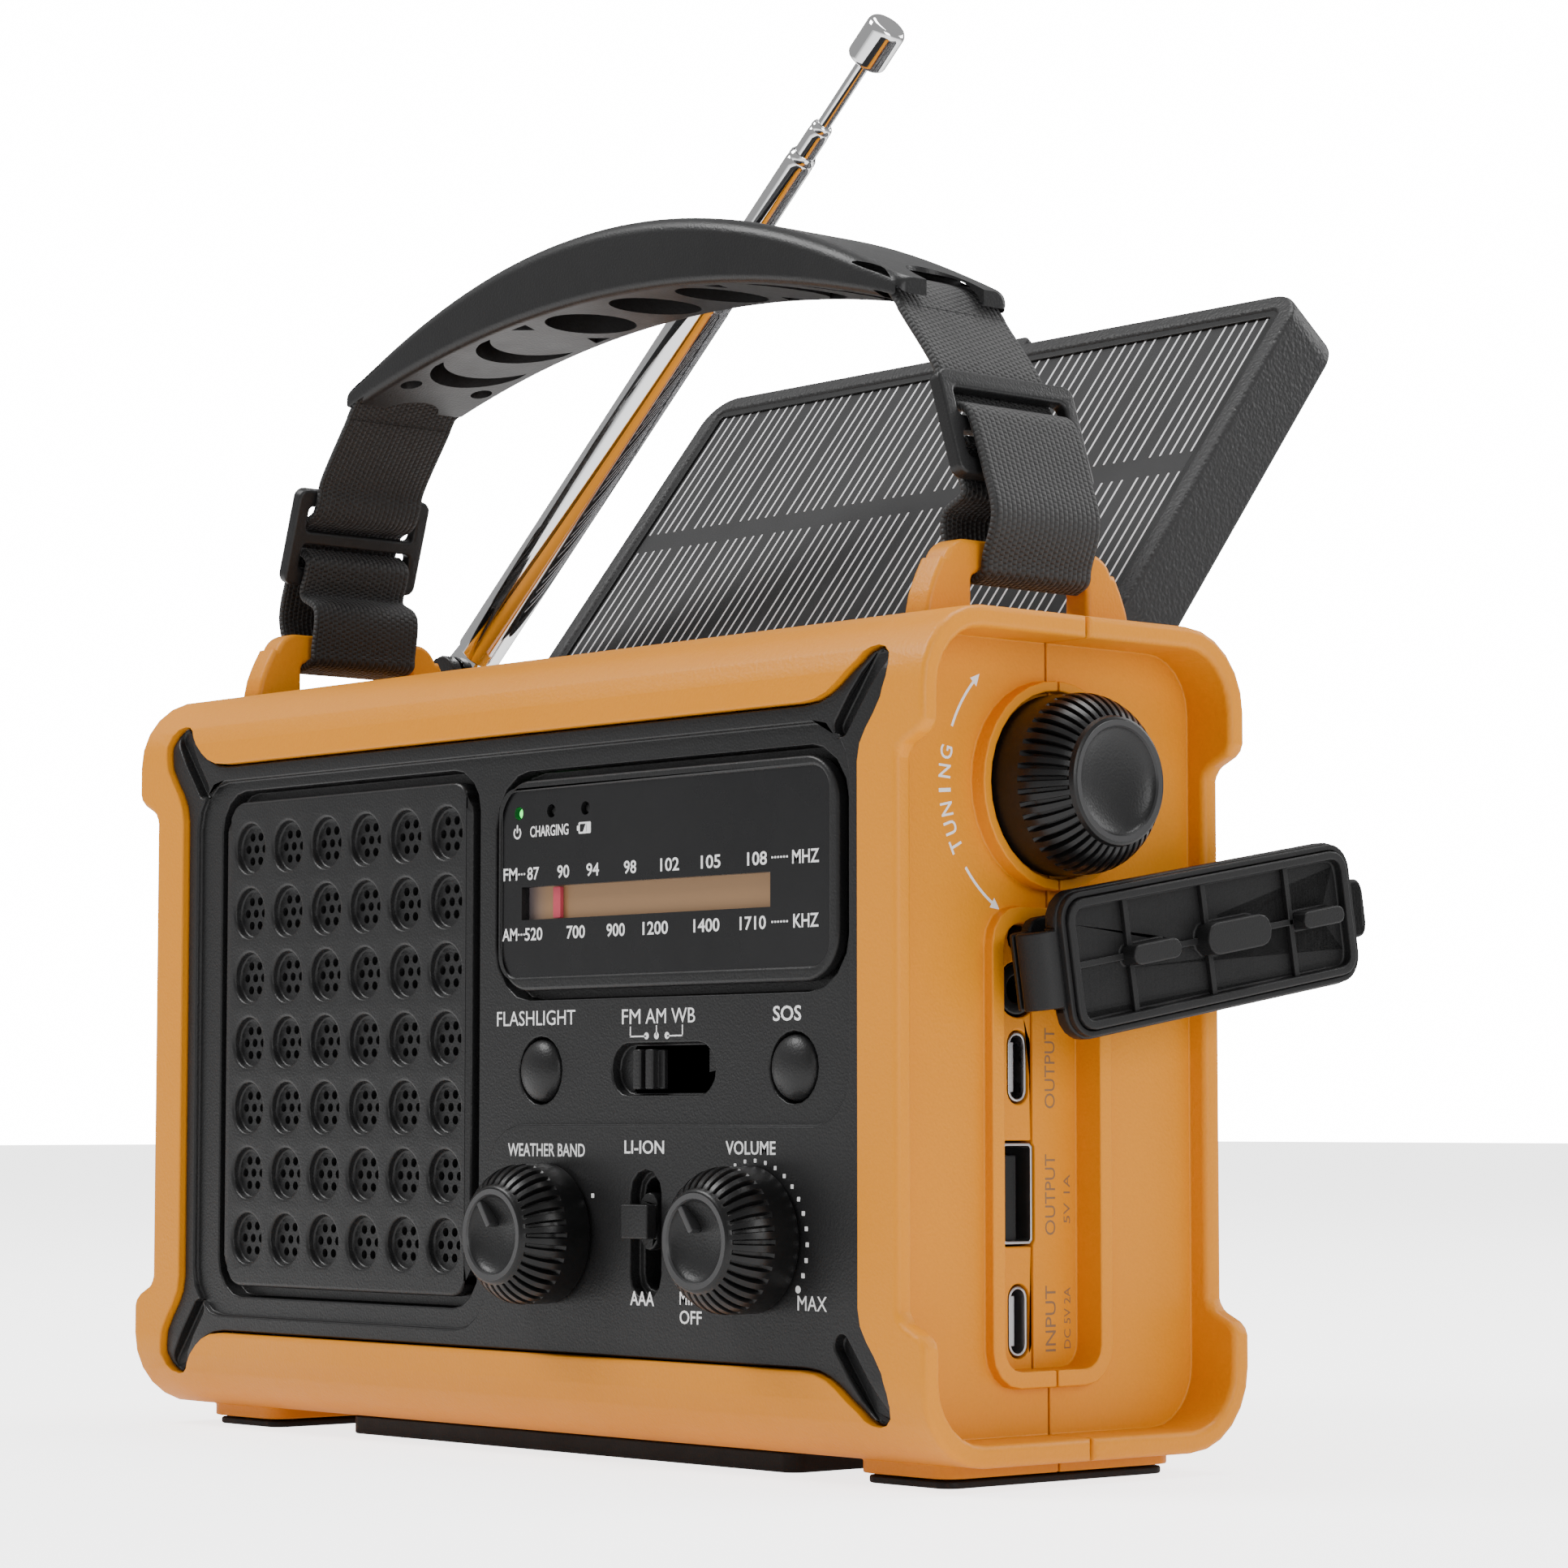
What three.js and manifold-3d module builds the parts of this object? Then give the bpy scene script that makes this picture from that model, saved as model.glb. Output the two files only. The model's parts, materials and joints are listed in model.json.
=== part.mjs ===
// Portable emergency radio with a hand crank, a fold-up solar panel, a telescopic antenna,
// a webbing carry handle, a torch in its left side and a charging port panel in its right side.
//
// Frame: millimetres. +X is to the right of someone facing the dial, the front faces -Y, +Z is up.
// The origin is under the middle of the case, on the surface that the feet stand on.

import * as THREE from "three";
import { mergeVertices } from "three/addons/utils/BufferGeometryUtils.js";
import Module from "manifold-3d";

const wasm = await Module();
wasm.setup();

// ---------------------------------------------------------------- driving sizes

// case
const caseWidth = 168; // over the side rims at mid height
const caseDepth = 60;
const caseHeight = 109.5;
const footHeight = 3;
const edgeRadius = 11; // long front and rear edges
const wall = 3;
const sideWall = 2.6;
const sideInset = 3; // the side panels sit this far inside the rims
const cornerBump = 5; // the rims stand out this much further at the four corners
const bumpHeight = 15.2;
const bumpSlope = 4.8;
const seam = 0.3; // between the two shells, and between any two pieces that meet
const gap = 0.3;

// front panel
const panelSink = 1; // its face lies this far behind the front of the case
const panelThickness = 2;
const panelSideMargin = 7.7;
const panelEndMargin = 12;
const fingerReach = 6.4; // the corner fingers run this far past the panel's edges
const stepDepth = 0.9; // the speaker and dial field lies this much lower
const stepMargin = 2.3;
const stepRadius = 7;
const controlsHeight = 31; // of the raised field that holds the two knobs
const trayThickness = 3.6;

// speaker
const holePitch = 9.78;
const holeRadius = 3.65;
const holeColumns = 6;
const holeRows = 7;
const holeDepth = 2;
const grilleMargin = 4.7; // from the outer holes' centres to the grille's edge
const grilleEndMargin = 7.2;
const grilleThickness = 2.7;
const grilleLeft = 9.3; // from the panel's left edge
const driverRadius = 29;
const driverDepth = 18;

// dial
const dialHeight = 29.4;
const dialTopMargin = 6.4;
const dialRightMargin = 4.5;
const dialLeftGap = 6.7; // from the grille
const dialRadius = 6.5;
const stripLength = 52.5;
const stripHeight = 4.6;
const pointerWidth = 1.6;
const pointerTravel = 46;
const pointerStart = 3.6; // where the pointer stands in its travel at rest

// controls
const buttonRadius = 4.4;
const buttonProud = 1.5;
const buttonTravel = 1.2;
const knobRadius = 9.6;
const knobFaceRadius = 6.3;
const knobHeight = 10.3;
const spindleRadius = 3;
const tuningKnobRadius = 11.9;
const tuningFaceRadius = 8.6;
const tuningKnobHeight = 12.6;
const collarRadius = 13.8;
const collarHeight = 2.4;

// ports
const pocketWidth = 22;
const pocketBottom = 12.2;
const pocketTop = 74.5;
const pocketDepth = 3;
const pocketLip = 1.6;
const lipWidth = 2.2;
const portLine = -2.5; // the ports' centres lie on this Y
const flapLength = 57;
const flapWidth = 19.4;
const flapThickness = 2;
const flapTilt = 9.5; // degrees, the open cover's rise towards the rear

// handle
const lugX = 75.5;
const lugThickness = 4.6;
const lugTop = 10.2; // above the case
const webWidth = 20;
const webThickness = 1.4;
const gripHalf = 63.5;
const gripWidth = 21;
const gripApex = 63.9; // top of the grip above the case
const gripRise = 16.5; // sagitta of its upper face
const gripUnderRise = 9.5;
const gripMiddle = 10.5; // thickness at its middle
const handleY = 0.5;

// antenna
const antennaX = -78;
const antennaY = 24.5;
const antennaAxisHeight = 5.5; // above the case
const antennaTilt = 41; // degrees above +X
const tubeRadii = [3.7, 3.15, 2.65, 2.2, 1.7, 1.05];
const tubeClearance = 0.15;
const tubeLength = 82;
const tubeShown = [84, 5, 5, 17.5, 5.7, 11.9]; // how much of each section shows, from the pivot outwards
const capRadius = 3.1;
const capLength = 7;

// solar panel
const solarHalf = 66;
const solarLength = 67;
const solarThickness = 10.6;
const solarNear = 3; // from the hinge axis to the panel's near edge
const solarLift = 3.4; // the cell face stands this far above the hinge axis
const solarTilt = 52; // degrees above +Y
const hingeBack = 1.5; // hinge axis inside the rear face
const hingeDrop = 2; // hinge axis below the top of the case
const hingePinRadius = 1;

// crank
const crankX = 30;
const crankZ = 20;
const crankHubRadius = 12.5;
const crankLength = 50;
const crankWidth = 11;
const armThickness = 3.4;
const crankGripRadius = 4.3;
const gearModule = 0.7;
const gearTeeth = 30;
const pinionTeeth = 10;
const gearBacklash = 0.25; // extra centre distance

// side of the torch and the battery door
const torchRadius = 15;
const torchZ = 80.5;
const cellRadius = 5.25; // AAA
const cellLength = 44.5;
const lithiumRadius = 9.1; // 18650
const lithiumLength = 65;

// ---------------------------------------------------------------- derived places

const halfWidth = caseWidth / 2;
const yFront = -caseDepth / 2;
const yRear = caseDepth / 2;
const zBase = footHeight;
const zTop = footHeight + caseHeight;
const zMid = footHeight + caseHeight / 2;
const sideFace = halfWidth - sideInset; // outer face of each side panel
const cavityHalf = sideFace - sideWall;

const panelY = yFront + panelSink;
const panelHalf = halfWidth - panelSideMargin;
const panelHalfZ = caseHeight / 2 - panelEndMargin;
const fieldY = panelY + stepDepth;
const trayFloorY = yFront + wall + 1.6; // floor of the speaker and dial pockets
const trayBackY = trayFloorY + 2;

const grilleX0 = -panelHalf + grilleLeft;
const grilleX1 = grilleX0 + (holeColumns - 1) * holePitch + 2 * (grilleMargin + 1.4);
const grilleHalfZ = ((holeRows - 1) * holePitch) / 2 + grilleEndMargin;
const grilleZ = zMid + 0.6;
const speakerX = (grilleX0 + grilleX1) / 2;

const dialX0 = grilleX1 + dialLeftGap;
const dialX1 = panelHalf - dialRightMargin;
const dialZ1 = zMid + panelHalfZ - dialTopMargin;
const dialZ0 = dialZ1 - dialHeight;
const stripX0 = dialX0 + 5;
const stripZ0 = dialZ0 + 9.9;
const pointerX = stripX0 + (stripLength - pointerTravel) / 2 + pointerStart;

const controlLineZ = zMid - panelHalfZ + controlsHeight;
const knobZ = controlLineZ - 14.8;
const weatherX = dialX0 + 12.2;
const volumeX = dialX1 - 16.2;
const batterySlideX = (weatherX + volumeX) / 2 - 0.7;
const buttonZ = controlLineZ + 7.6;
const lightX = dialX0 + 8.9;
const sosX = dialX1 - 9.3;
const bandX = (lightX + sosX) / 2;

const tuningZ = zTop - 22;
const tuningY = 0;
const pocketY = -0.6;
const pocketFloor = sideFace - pocketDepth;

const boardY = yFront + 22;

// ---------------------------------------------------------------- solids

function toSolid(geometry) {
  const bare = new THREE.BufferGeometry();
  bare.setAttribute("position", geometry.getAttribute("position"));
  if (geometry.index) bare.setIndex(geometry.index);
  const merged = mergeVertices(bare, 1e-4);
  const faces = [];
  const index = merged.index.array;
  for (let i = 0; i < index.length; i += 3) {
    const [a, b, c] = [index[i], index[i + 1], index[i + 2]];
    if (a !== b && b !== c && c !== a) faces.push(a, b, c);
  }
  const build = (list) =>
    new wasm.Manifold(
      new wasm.Mesh({
        numProp: 3,
        vertProperties: merged.attributes.position.array,
        triVerts: new Uint32Array(list),
      }),
    );
  const solid = build(faces);
  if (solid.volume() > 0) return solid;
  const turned = [];
  for (let i = 0; i < faces.length; i += 3) turned.push(faces[i], faces[i + 2], faces[i + 1]);
  return build(turned);
}

function join(...solids) {
  return solids.reduce((a, b) => a.add(b));
}

function cut(solid, ...tools) {
  return tools.reduce((a, b) => a.subtract(b), solid);
}

function box(x0, x1, y0, y1, z0, z1) {
  const g = new THREE.BoxGeometry(x1 - x0, y1 - y0, z1 - z0);
  g.translate((x0 + x1) / 2, (y0 + y1) / 2, (z0 + z1) / 2);
  return toSolid(g);
}

// Turns a geometry drawn along +Z so that it runs along another axis, then moves it.
const AXES = {
  X: new THREE.Matrix4().makeBasis(
    new THREE.Vector3(0, 1, 0),
    new THREE.Vector3(0, 0, 1),
    new THREE.Vector3(1, 0, 0),
  ),
  Y: new THREE.Matrix4().makeBasis(
    new THREE.Vector3(1, 0, 0),
    new THREE.Vector3(0, 0, 1),
    new THREE.Vector3(0, -1, 0),
  ),
  Z: new THREE.Matrix4(),
};

// A flat outline pushed from one coordinate to another: (Y, Z) outlines run along X,
// (X, Z) outlines along Y and (X, Y) outlines along Z.
function prism(axis, points, from, to, holes = []) {
  const shape = new THREE.Shape(points.map(([a, b]) => new THREE.Vector2(a, b)));
  for (const hole of holes) shape.holes.push(new THREE.Path(hole.map(([a, b]) => new THREE.Vector2(a, b))));
  const g = new THREE.ExtrudeGeometry(shape, { depth: to - from, bevelEnabled: false });
  g.applyMatrix4(AXES[axis]);
  if (axis === "Y") g.translate(0, to, 0);
  else if (axis === "X") g.translate(from, 0, 0);
  else g.translate(0, 0, from);
  return toSolid(g);
}

// A turned solid: profile points are (radius, distance along the axis).
function turned(axis, profile, centre, segments = 24) {
  const g = new THREE.LatheGeometry(
    profile.map(([r, h]) => new THREE.Vector2(r, h)),
    segments,
  );
  if (axis === "X") g.rotateZ(-Math.PI / 2);
  if (axis === "Z") g.rotateX(Math.PI / 2);
  g.translate(...centre);
  return toSolid(g);
}

function rod(axis, radius, from, to, centre, segments = 20) {
  const profile = [[0, from], [radius, from], [radius, to], [0, to]];
  return turned(axis, profile, centre, segments);
}

function arcPoints(cx, cy, r, a0, a1, steps) {
  const points = [];
  for (let i = 0; i <= steps; i++) {
    const a = THREE.MathUtils.degToRad(a0 + ((a1 - a0) * i) / steps);
    points.push([cx + r * Math.cos(a), cy + r * Math.sin(a)]);
  }
  return points;
}

function roundedRect(x0, x1, y0, y1, r, steps = 4) {
  return [
    ...arcPoints(x1 - r, y1 - r, r, 0, 90, steps),
    ...arcPoints(x0 + r, y1 - r, r, 90, 180, steps),
    ...arcPoints(x0 + r, y0 + r, r, 180, 270, steps),
    ...arcPoints(x1 - r, y0 + r, r, 270, 360, steps),
  ];
}

function curvePoints(points, steps) {
  return new THREE.SplineCurve(points.map(([a, b]) => new THREE.Vector2(a, b)))
    .getPoints(steps)
    .map((p) => [p.x, p.y]);
}

function bezierPoints(a, b, c, d, steps) {
  const v = ([x, y]) => new THREE.Vector2(x, y);
  return new THREE.CubicBezierCurve(v(a), v(b), v(c), v(d)).getPoints(steps).map((p) => [p.x, p.y]);
}

// Moves every side of a closed counter-clockwise outline outwards by d.
function grown(points, d) {
  return points.map((p, i) => {
    const before = points[(i + points.length - 1) % points.length];
    const after = points[(i + 1) % points.length];
    const normal = (a, b) => {
      const length = Math.hypot(b[0] - a[0], b[1] - a[1]);
      return [(b[1] - a[1]) / length, (a[0] - b[0]) / length];
    };
    const [n1, n2] = [normal(before, p), normal(p, after)];
    const k = d / Math.max(0.4, 1 + n1[0] * n2[0] + n1[1] * n2[1]);
    return [p[0] + (n1[0] + n2[0]) * k, p[1] + (n1[1] + n2[1]) * k];
  });
}

// A band of constant thickness that follows an open path.
function band(axis, path, thickness, from, to) {
  const side = (s) =>
    path.map((p, i) => {
      const a = path[Math.max(0, i - 1)];
      const b = path[Math.min(path.length - 1, i + 1)];
      const length = Math.hypot(b[0] - a[0], b[1] - a[1]);
      return [p[0] - (s * (b[1] - a[1])) / length, p[1] + (s * (b[0] - a[0])) / length];
    });
  return prism(axis, [...side(-thickness / 2), ...side(thickness / 2).reverse()], from, to);
}

// ---------------------------------------------------------------- finishes

const FINISHES = {
  orange: { color: 0xf0a23c, roughness: 0.55, metalness: 0 },
  charcoal: { color: 0x2b2b2c, roughness: 0.5, metalness: 0 },
  soft_black: { color: 0x161616, roughness: 0.8, metalness: 0 },
  lens: { color: 0x232324, roughness: 0.2, metalness: 0 },
  amber: { color: 0xb08a5a, roughness: 0.4, metalness: 0 },
  pointer_red: { color: 0xb5566a, roughness: 0.4, metalness: 0 },
  webbing: { color: 0x141414, roughness: 0.9, metalness: 0 },
  chrome: { color: 0xd8d8d8, roughness: 0.1, metalness: 1 },
  steel: { color: 0x9a9a9a, roughness: 0.35, metalness: 1 },
  solar: { color: 0x303133, roughness: 0.3, metalness: 0 },
  clear: { color: 0xdfe8ee, roughness: 0.05, metalness: 0 },
  board: { color: 0x1f5a35, roughness: 0.6, metalness: 0 },
  cell: { color: 0x3a6ea5, roughness: 0.4, metalness: 0 },
};

const radio = new THREE.Group();

function add(name, finish, solid, parent = radio) {
  const mesh = solid.getMesh();
  const geometry = new THREE.BufferGeometry();
  const positions = new Float32Array(mesh.numVert * 3);
  for (let i = 0; i < mesh.numVert; i++) {
    positions.set(mesh.vertProperties.subarray(i * mesh.numProp, i * mesh.numProp + 3), i * 3);
  }
  geometry.setAttribute("position", new THREE.BufferAttribute(positions, 3));
  geometry.setIndex(new THREE.BufferAttribute(new Uint32Array(mesh.triVerts), 1));
  geometry.computeVertexNormals();
  const part = new THREE.Mesh(geometry, new THREE.MeshStandardMaterial(FINISHES[finish]));
  part.name = name;
  parent.add(part);
}

// A nested group whose own frame stands at a pivot and is turned about one axis.
function pivot(position, axis, degrees) {
  const group = new THREE.Group();
  group.position.set(...position);
  group.rotation[axis] = THREE.MathUtils.degToRad(degrees);
  radio.add(group);
  return group;
}

// ---------------------------------------------------------------- case

// The case seen from its end: a rounded rectangle, drawn smaller by inset.
function endOutline(inset, steps = 6) {
  const r = edgeRadius - inset;
  return roundedRect(yFront + inset, yRear - inset, zBase + inset, zTop - inset, r, steps);
}

// The case seen from the front: its rims step out at the four corners.
function frontOutline() {
  const corner = halfWidth + cornerBump;
  const rise = (z0, z1, x0, x1) =>
    bezierPoints([x0, z0], [x0, z0 + (z1 - z0) * 0.55], [x1, z1 - (z1 - z0) * 0.55], [x1, z1], 6);
  const right = [
    [corner, zBase],
    ...rise(zBase + bumpHeight, zBase + bumpHeight + bumpSlope, corner, halfWidth),
    ...rise(zTop - bumpHeight - bumpSlope, zTop - bumpHeight, halfWidth, corner),
    [corner, zTop],
  ];
  return [...right, ...right.map(([x, z]) => [-x, z]).reverse()];
}

// The panel's outline with its four corner fingers, one quarter mirrored twice.
function panelOutline() {
  const [w, h] = [panelHalf, panelHalfZ];
  const f = fingerReach;
  const quarter = [
    ...bezierPoints([w, h - 8], [w, h - 3.5], [w + 4.6, h - 2], [w + 5.2, h + 2.6], 5),
    ...bezierPoints(
      [w + 5.4, h + 4], [w + 5.2, h + f + 0.6], [w + 1.6, h + f + 0.6], [w + 0.4, h + f - 0.5], 5,
    ),
    ...bezierPoints([w - 0.6, h + f - 1.6], [w - 3.5, h + 2.4], [w - 5.5, h], [w - 10.5, h], 5),
  ];
  const mirrored = (list, sx, sz) => list.map(([x, z]) => [sx * x, sz * z]);
  return [
    ...quarter,
    ...mirrored(quarter, -1, 1).reverse(),
    ...mirrored(quarter, -1, -1),
    ...mirrored(quarter, 1, -1).reverse(),
  ].map(([x, z]) => [x, z + zMid]);
}

// The lowered field around the grille and the dial; the knobs' field stays raised.
function fieldOutline() {
  const [x0, x1] = [-panelHalf + stepMargin, panelHalf - stepMargin];
  const [z0, z1] = [zMid - panelHalfZ + stepMargin, zMid + panelHalfZ - stepMargin];
  const xm = grilleX1 + dialLeftGap / 2 + 1.2;
  const r = stepRadius;
  return [
    ...arcPoints(xm - r, z0 + r, r, 270, 360, 4),
    ...arcPoints(xm + r, controlLineZ - r, r, 180, 90, 4),
    ...arcPoints(x1 - r, controlLineZ + r, r, 270, 360, 4),
    ...arcPoints(x1 - r, z1 - r, r, 0, 90, 4),
    ...arcPoints(x0 + r, z1 - r, r, 90, 180, 4),
    ...arcPoints(x0 + r, z0 + r, r, 180, 270, 4),
  ];
}

const solarHingeY = yRear - hingeBack;
const solarHingeZ = zTop - hingeDrop;
const recessY = solarHingeY + solarLift - solarThickness - 1.1;
const recessHalf = solarHalf + 1.2;
const recessBottom = solarHingeZ - solarNear - solarLength - 4.6;

const cellGap = 0.9; // between the AAA cells
const cellSpare = 0.25; // between the last cell and the wall of the panel's recess
const cellRowY = recessY - wall - gap - 3 * cellRadius - cellGap - cellSpare; // the cells' middle

// Everything both shells share, before they are parted at the seam.
function caseBody() {
  const reach = halfWidth + cornerBump + 1;
  const outer = prism("X", endOutline(0), -reach, reach).intersect(
    prism("Y", frontOutline(), yFront - 1, yRear + 1),
  );
  const rimPocket = endOutline(wall);
  const base = (s) => {
    const [a, b] = [s * (halfWidth - 19), s * (halfWidth - 1.2)].sort((p, q) => p - q);
    return prism("Z", roundedRect(a, b, -20, 22, 3, 3), 1.3, zBase + 1);
  };
  const lip = prism(
    "X",
    roundedRect(pocketY - pocketWidth / 2, pocketY + pocketWidth / 2, pocketBottom, pocketTop, 5),
    cavityHalf,
    sideFace + pocketLip,
  );
  const pocket = prism(
    "X",
    roundedRect(
      pocketY - pocketWidth / 2 + lipWidth,
      pocketY + pocketWidth / 2 - lipWidth,
      pocketBottom + lipWidth,
      pocketTop - lipWidth,
      3,
    ),
    pocketFloor,
    reach,
  );
  const pocketBack = box(
    pocketFloor - sideWall, cavityHalf + 1,
    pocketY - pocketWidth / 2 + 0.2, pocketY + pocketWidth / 2 - 0.2,
    pocketBottom + 0.2, pocketTop - 0.2,
  );
  const collar = rod("X", collarRadius, sideFace - 1, sideFace + collarHeight, [0, tuningY, tuningZ], 32);
  const collarBore = rod("X", tuningKnobRadius + 0.5, sideFace + 0.4, reach, [0, tuningY, tuningZ], 32);
  const spindleBore = rod("X", spindleRadius + gap, cavityHalf - 1, reach, [0, tuningY, tuningZ], 16);
  const torchBore = rod("X", torchRadius + gap, -reach, -cavityHalf + 1, [0, 0, torchZ], 28);
  const doorHole = prism("X", grown(doorOutline(), gap), -reach, -cavityHalf + 1);

  let body = cut(
    outer,
    prism("X", rimPocket, sideFace, reach),
    prism("X", rimPocket, -reach, -sideFace),
    prism("X", endOutline(wall), -cavityHalf, cavityHalf),
  );
  body = join(body, base(-1), base(1), lip, pocketBack, collar);
  body = cut(body, pocket, collarBore, spindleBore, torchBore, doorHole, ...portHoles());
  const recessWall = box(
    -recessHalf - wall, recessHalf + wall,
    recessY - wall, yRear - wall + 0.5,
    recessBottom - wall, zTop - wall + 0.5,
  );
  const recess = box(-recessHalf, recessHalf, recessY, yRear + 1, recessBottom, zTop + 1);
  const crankBore = rod("Y", spindleRadius + gap, yRear - wall - 1, yRear + 1, [crankX, 0, crankZ], 16);
  body = cut(join(body, recessWall), recess, crankBore);
  return cut(body, ...lugPockets(), solarPinBore());
}

function portHoles() {
  return ports().map(({ z, outline, grow }) =>
    prism(
      "X", grown(outline, grow).map(([y, dz]) => [y + portLine, dz + z]), pocketFloor - sideWall - 1,
      sideFace,
    ),
  ).concat(rod("X", 1.5 + gap, pocketFloor - sideWall - 1, sideFace, [0, portLine, tetherZ], 12));
}

function solarPinBore() {
  return rod(
    "X", hingePinRadius + gap, -recessHalf - wall + 0.8, recessHalf + wall - 0.8,
    [0, solarHingeY, solarHingeZ], 12,
  );
}

function addShells() {
  const body = caseBody();
  const reach = halfWidth + cornerBump + 20;
  const deep = Math.max(wall, panelSink + panelThickness) + gap;
  const opening = curvedPlate(grown(panelOutline(), gap), -1, 1 + deep);
  const front = box(-reach, reach, yFront - 1, -seam / 2, -1, zTop + 20);
  const rear = box(-reach, reach, seam / 2, yRear + 1, -1, zTop + 20);
  add("front_shell", "orange", cut(body.intersect(front), opening));
  add("rear_shell", "orange", body.intersect(rear));
}

// The two plates that the webbing loops through, clamped between the shells.
function lugOutline(grow = 0) {
  const z0 = zTop - wall + gap;
  return grown(
    [
      [-18.5, z0], [19.5, z0], [19.5, zTop + 0.4], [18.2, zTop + 4.5],
      ...arcPoints(12.2, zTop + lugTop - 4, 4, 20, 90, 3),
      ...arcPoints(-11.2, zTop + lugTop - 4, 4, 90, 160, 3),
      [-17.2, zTop + 4.5], [-18.5, zTop + 0.4],
    ],
    grow,
  );
}

function lugSlot() {
  return roundedRect(
    handleY - webWidth / 2 - 0.8, handleY + webWidth / 2 + 0.8,
    zTop + 0.6, zTop + lugTop - 4.4, 1.2, 2,
  );
}

function lugPockets() {
  return [-1, 1].map((s) =>
    prism("X", grown(
      [[-18.5, zTop - wall - 1], [19.5, zTop - wall - 1], [19.5, zTop + 1], [-18.5, zTop + 1]], gap,
    ),
      s * lugX - lugThickness / 2 - gap, s * lugX + lugThickness / 2 + gap),
  );
}

function addLugs() {
  for (const [name, s] of [["strap_lug_left", -1], ["strap_lug_right", 1]]) {
    const [x0, x1] = [s * lugX - lugThickness / 2, s * lugX + lugThickness / 2];
    add(name, "orange", prism("X", lugOutline(), x0, x1, [lugSlot()]));
  }
}

function addFeet() {
  const foot = (s) => {
    const [a, b] = [s * (halfWidth - 18.2), s * (halfWidth - 2)].sort((p, q) => p - q);
    return prism("Z", roundedRect(a, b, -19.2, 21.2, 2.4, 3), 0, 1);
  };
  add("foot_left", "soft_black", foot(-1));
  add("foot_right", "soft_black", foot(1));
  add("base_pad", "soft_black", prism("Z", roundedRect(-50, 50, -17, 19, 4, 3), 0, zBase - gap));
}

// ---------------------------------------------------------------- front panel

function curvedPlate(outline, inset, thickness) {
  const reach = halfWidth + cornerBump;
  const layer = cut(
    prism("X", endOutline(inset), -reach, reach),
    prism("X", endOutline(inset + thickness), -reach - 1, reach + 1),
  );
  return prism("Y", outline, yFront - 2, yFront + edgeRadius - 1).intersect(layer);
}

function addFrontPanel() {
  const plate = curvedPlate(panelOutline(), panelSink, panelThickness);
  const tray = prism(
    "Y",
    roundedRect(-panelHalf + 1, panelHalf - 1, zMid - panelHalfZ + 1, zMid + panelHalfZ - 1, 5, 3),
    panelY + panelThickness - 0.6,
    trayBackY,
  );
  const field = prism("Y", fieldOutline(), yFront - 1, fieldY);
  const grillePocket = prism("Y", grown(grilleOutline(), 1.6), yFront - 1, trayFloorY);
  const dialPocket = prism("Y", grown(dialOutline(), 1.3), yFront - 1, trayFloorY);
  const speakerHole = rod(
    "Y", driverRadius - 3, trayFloorY - 1, trayBackY + 1, [speakerX, 0, grilleZ], 28,
  );
  const through = (x, z, r) => rod("Y", r, yFront - 2, trayBackY + 1, [x, 0, z], 20);
  const bandRecess = prism(
    "Y", roundedRect(bandX - 10.8, bandX + 10.8, buttonZ - 3.5, buttonZ + 3.5, 3.45, 4), yFront - 1,
    fieldY + 1.6,
  );
  const bandSlot = prism(
    "Y", roundedRect(bandX - 7.6, bandX + 7.6, buttonZ - 3, buttonZ + 3, 0.5, 1), yFront - 1,
    trayBackY + 1,
  );
  const batteryRecess = prism("Y", batterySlotOutline(0), yFront - 1, panelY + 1.8);
  const batterySlot = prism("Y", batterySlotOutline(-1), yFront - 1, trayBackY + 1);
  const dialWindow = box(
    stripX0 - 1, stripX0 + stripLength + 1, trayFloorY - 1, trayBackY + 1, stripZ0,
    stripZ0 + stripHeight,
  );
  add(
    "front_panel",
    "charcoal",
    cut(
      join(plate, tray), field, grillePocket, dialPocket, speakerHole, dialWindow,
      through(lightX, buttonZ, buttonRadius + gap), through(sosX, buttonZ, buttonRadius + gap),
      through(weatherX, knobZ, spindleRadius + gap), through(volumeX, knobZ, spindleRadius + gap),
      bandRecess, bandSlot, batteryRecess, batterySlot,
    ),
  );
}

function batterySlotOutline(grow) {
  const [x, z] = [batterySlideX, knobZ + 0.3];
  return grown(
    [...arcPoints(x, z + 5.4, 3.2, 0, 180, 6), ...arcPoints(x, z - 5.4, 3.2, 180, 360, 6)], grow,
  );
}

function grilleOutline() {
  return roundedRect(grilleX0, grilleX1, grilleZ - grilleHalfZ, grilleZ + grilleHalfZ, 4.5, 4);
}

function addSpeaker() {
  const face = trayFloorY - gap - grilleThickness;
  let grille = prism("Y", grilleOutline(), face, trayFloorY - gap);
  const wells = [];
  for (let column = 0; column < holeColumns; column++) {
    for (let row = 0; row < holeRows; row++) {
      const x = speakerX + (column - (holeColumns - 1) / 2) * holePitch;
      const z = grilleZ + (row - (holeRows - 1) / 2) * holePitch;
      wells.push(rod("Y", holeRadius, face - 1, face + holeDepth, [x, 0, z], 10));
    }
  }
  grille = cut(grille, wells.reduce((a, b) => a.add(b)));
  add("speaker_grille", "charcoal", grille);
  const y0 = trayBackY + gap;
  add(
    "speaker_driver",
    "soft_black",
    turned(
      "Y",
      [
        [0, 8], [8, 8.6], [24, 1.4], [26, 0], [driverRadius, 0], [driverRadius, 1.6], [25, 3.2],
        [12, 11], [12, driverDepth], [0, driverDepth],
      ],
      [speakerX, y0, grilleZ],
      28,
    ),
  );
}

function dialOutline() {
  return roundedRect(dialX0, dialX1, dialZ0, dialZ1, dialRadius, 4);
}

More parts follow.
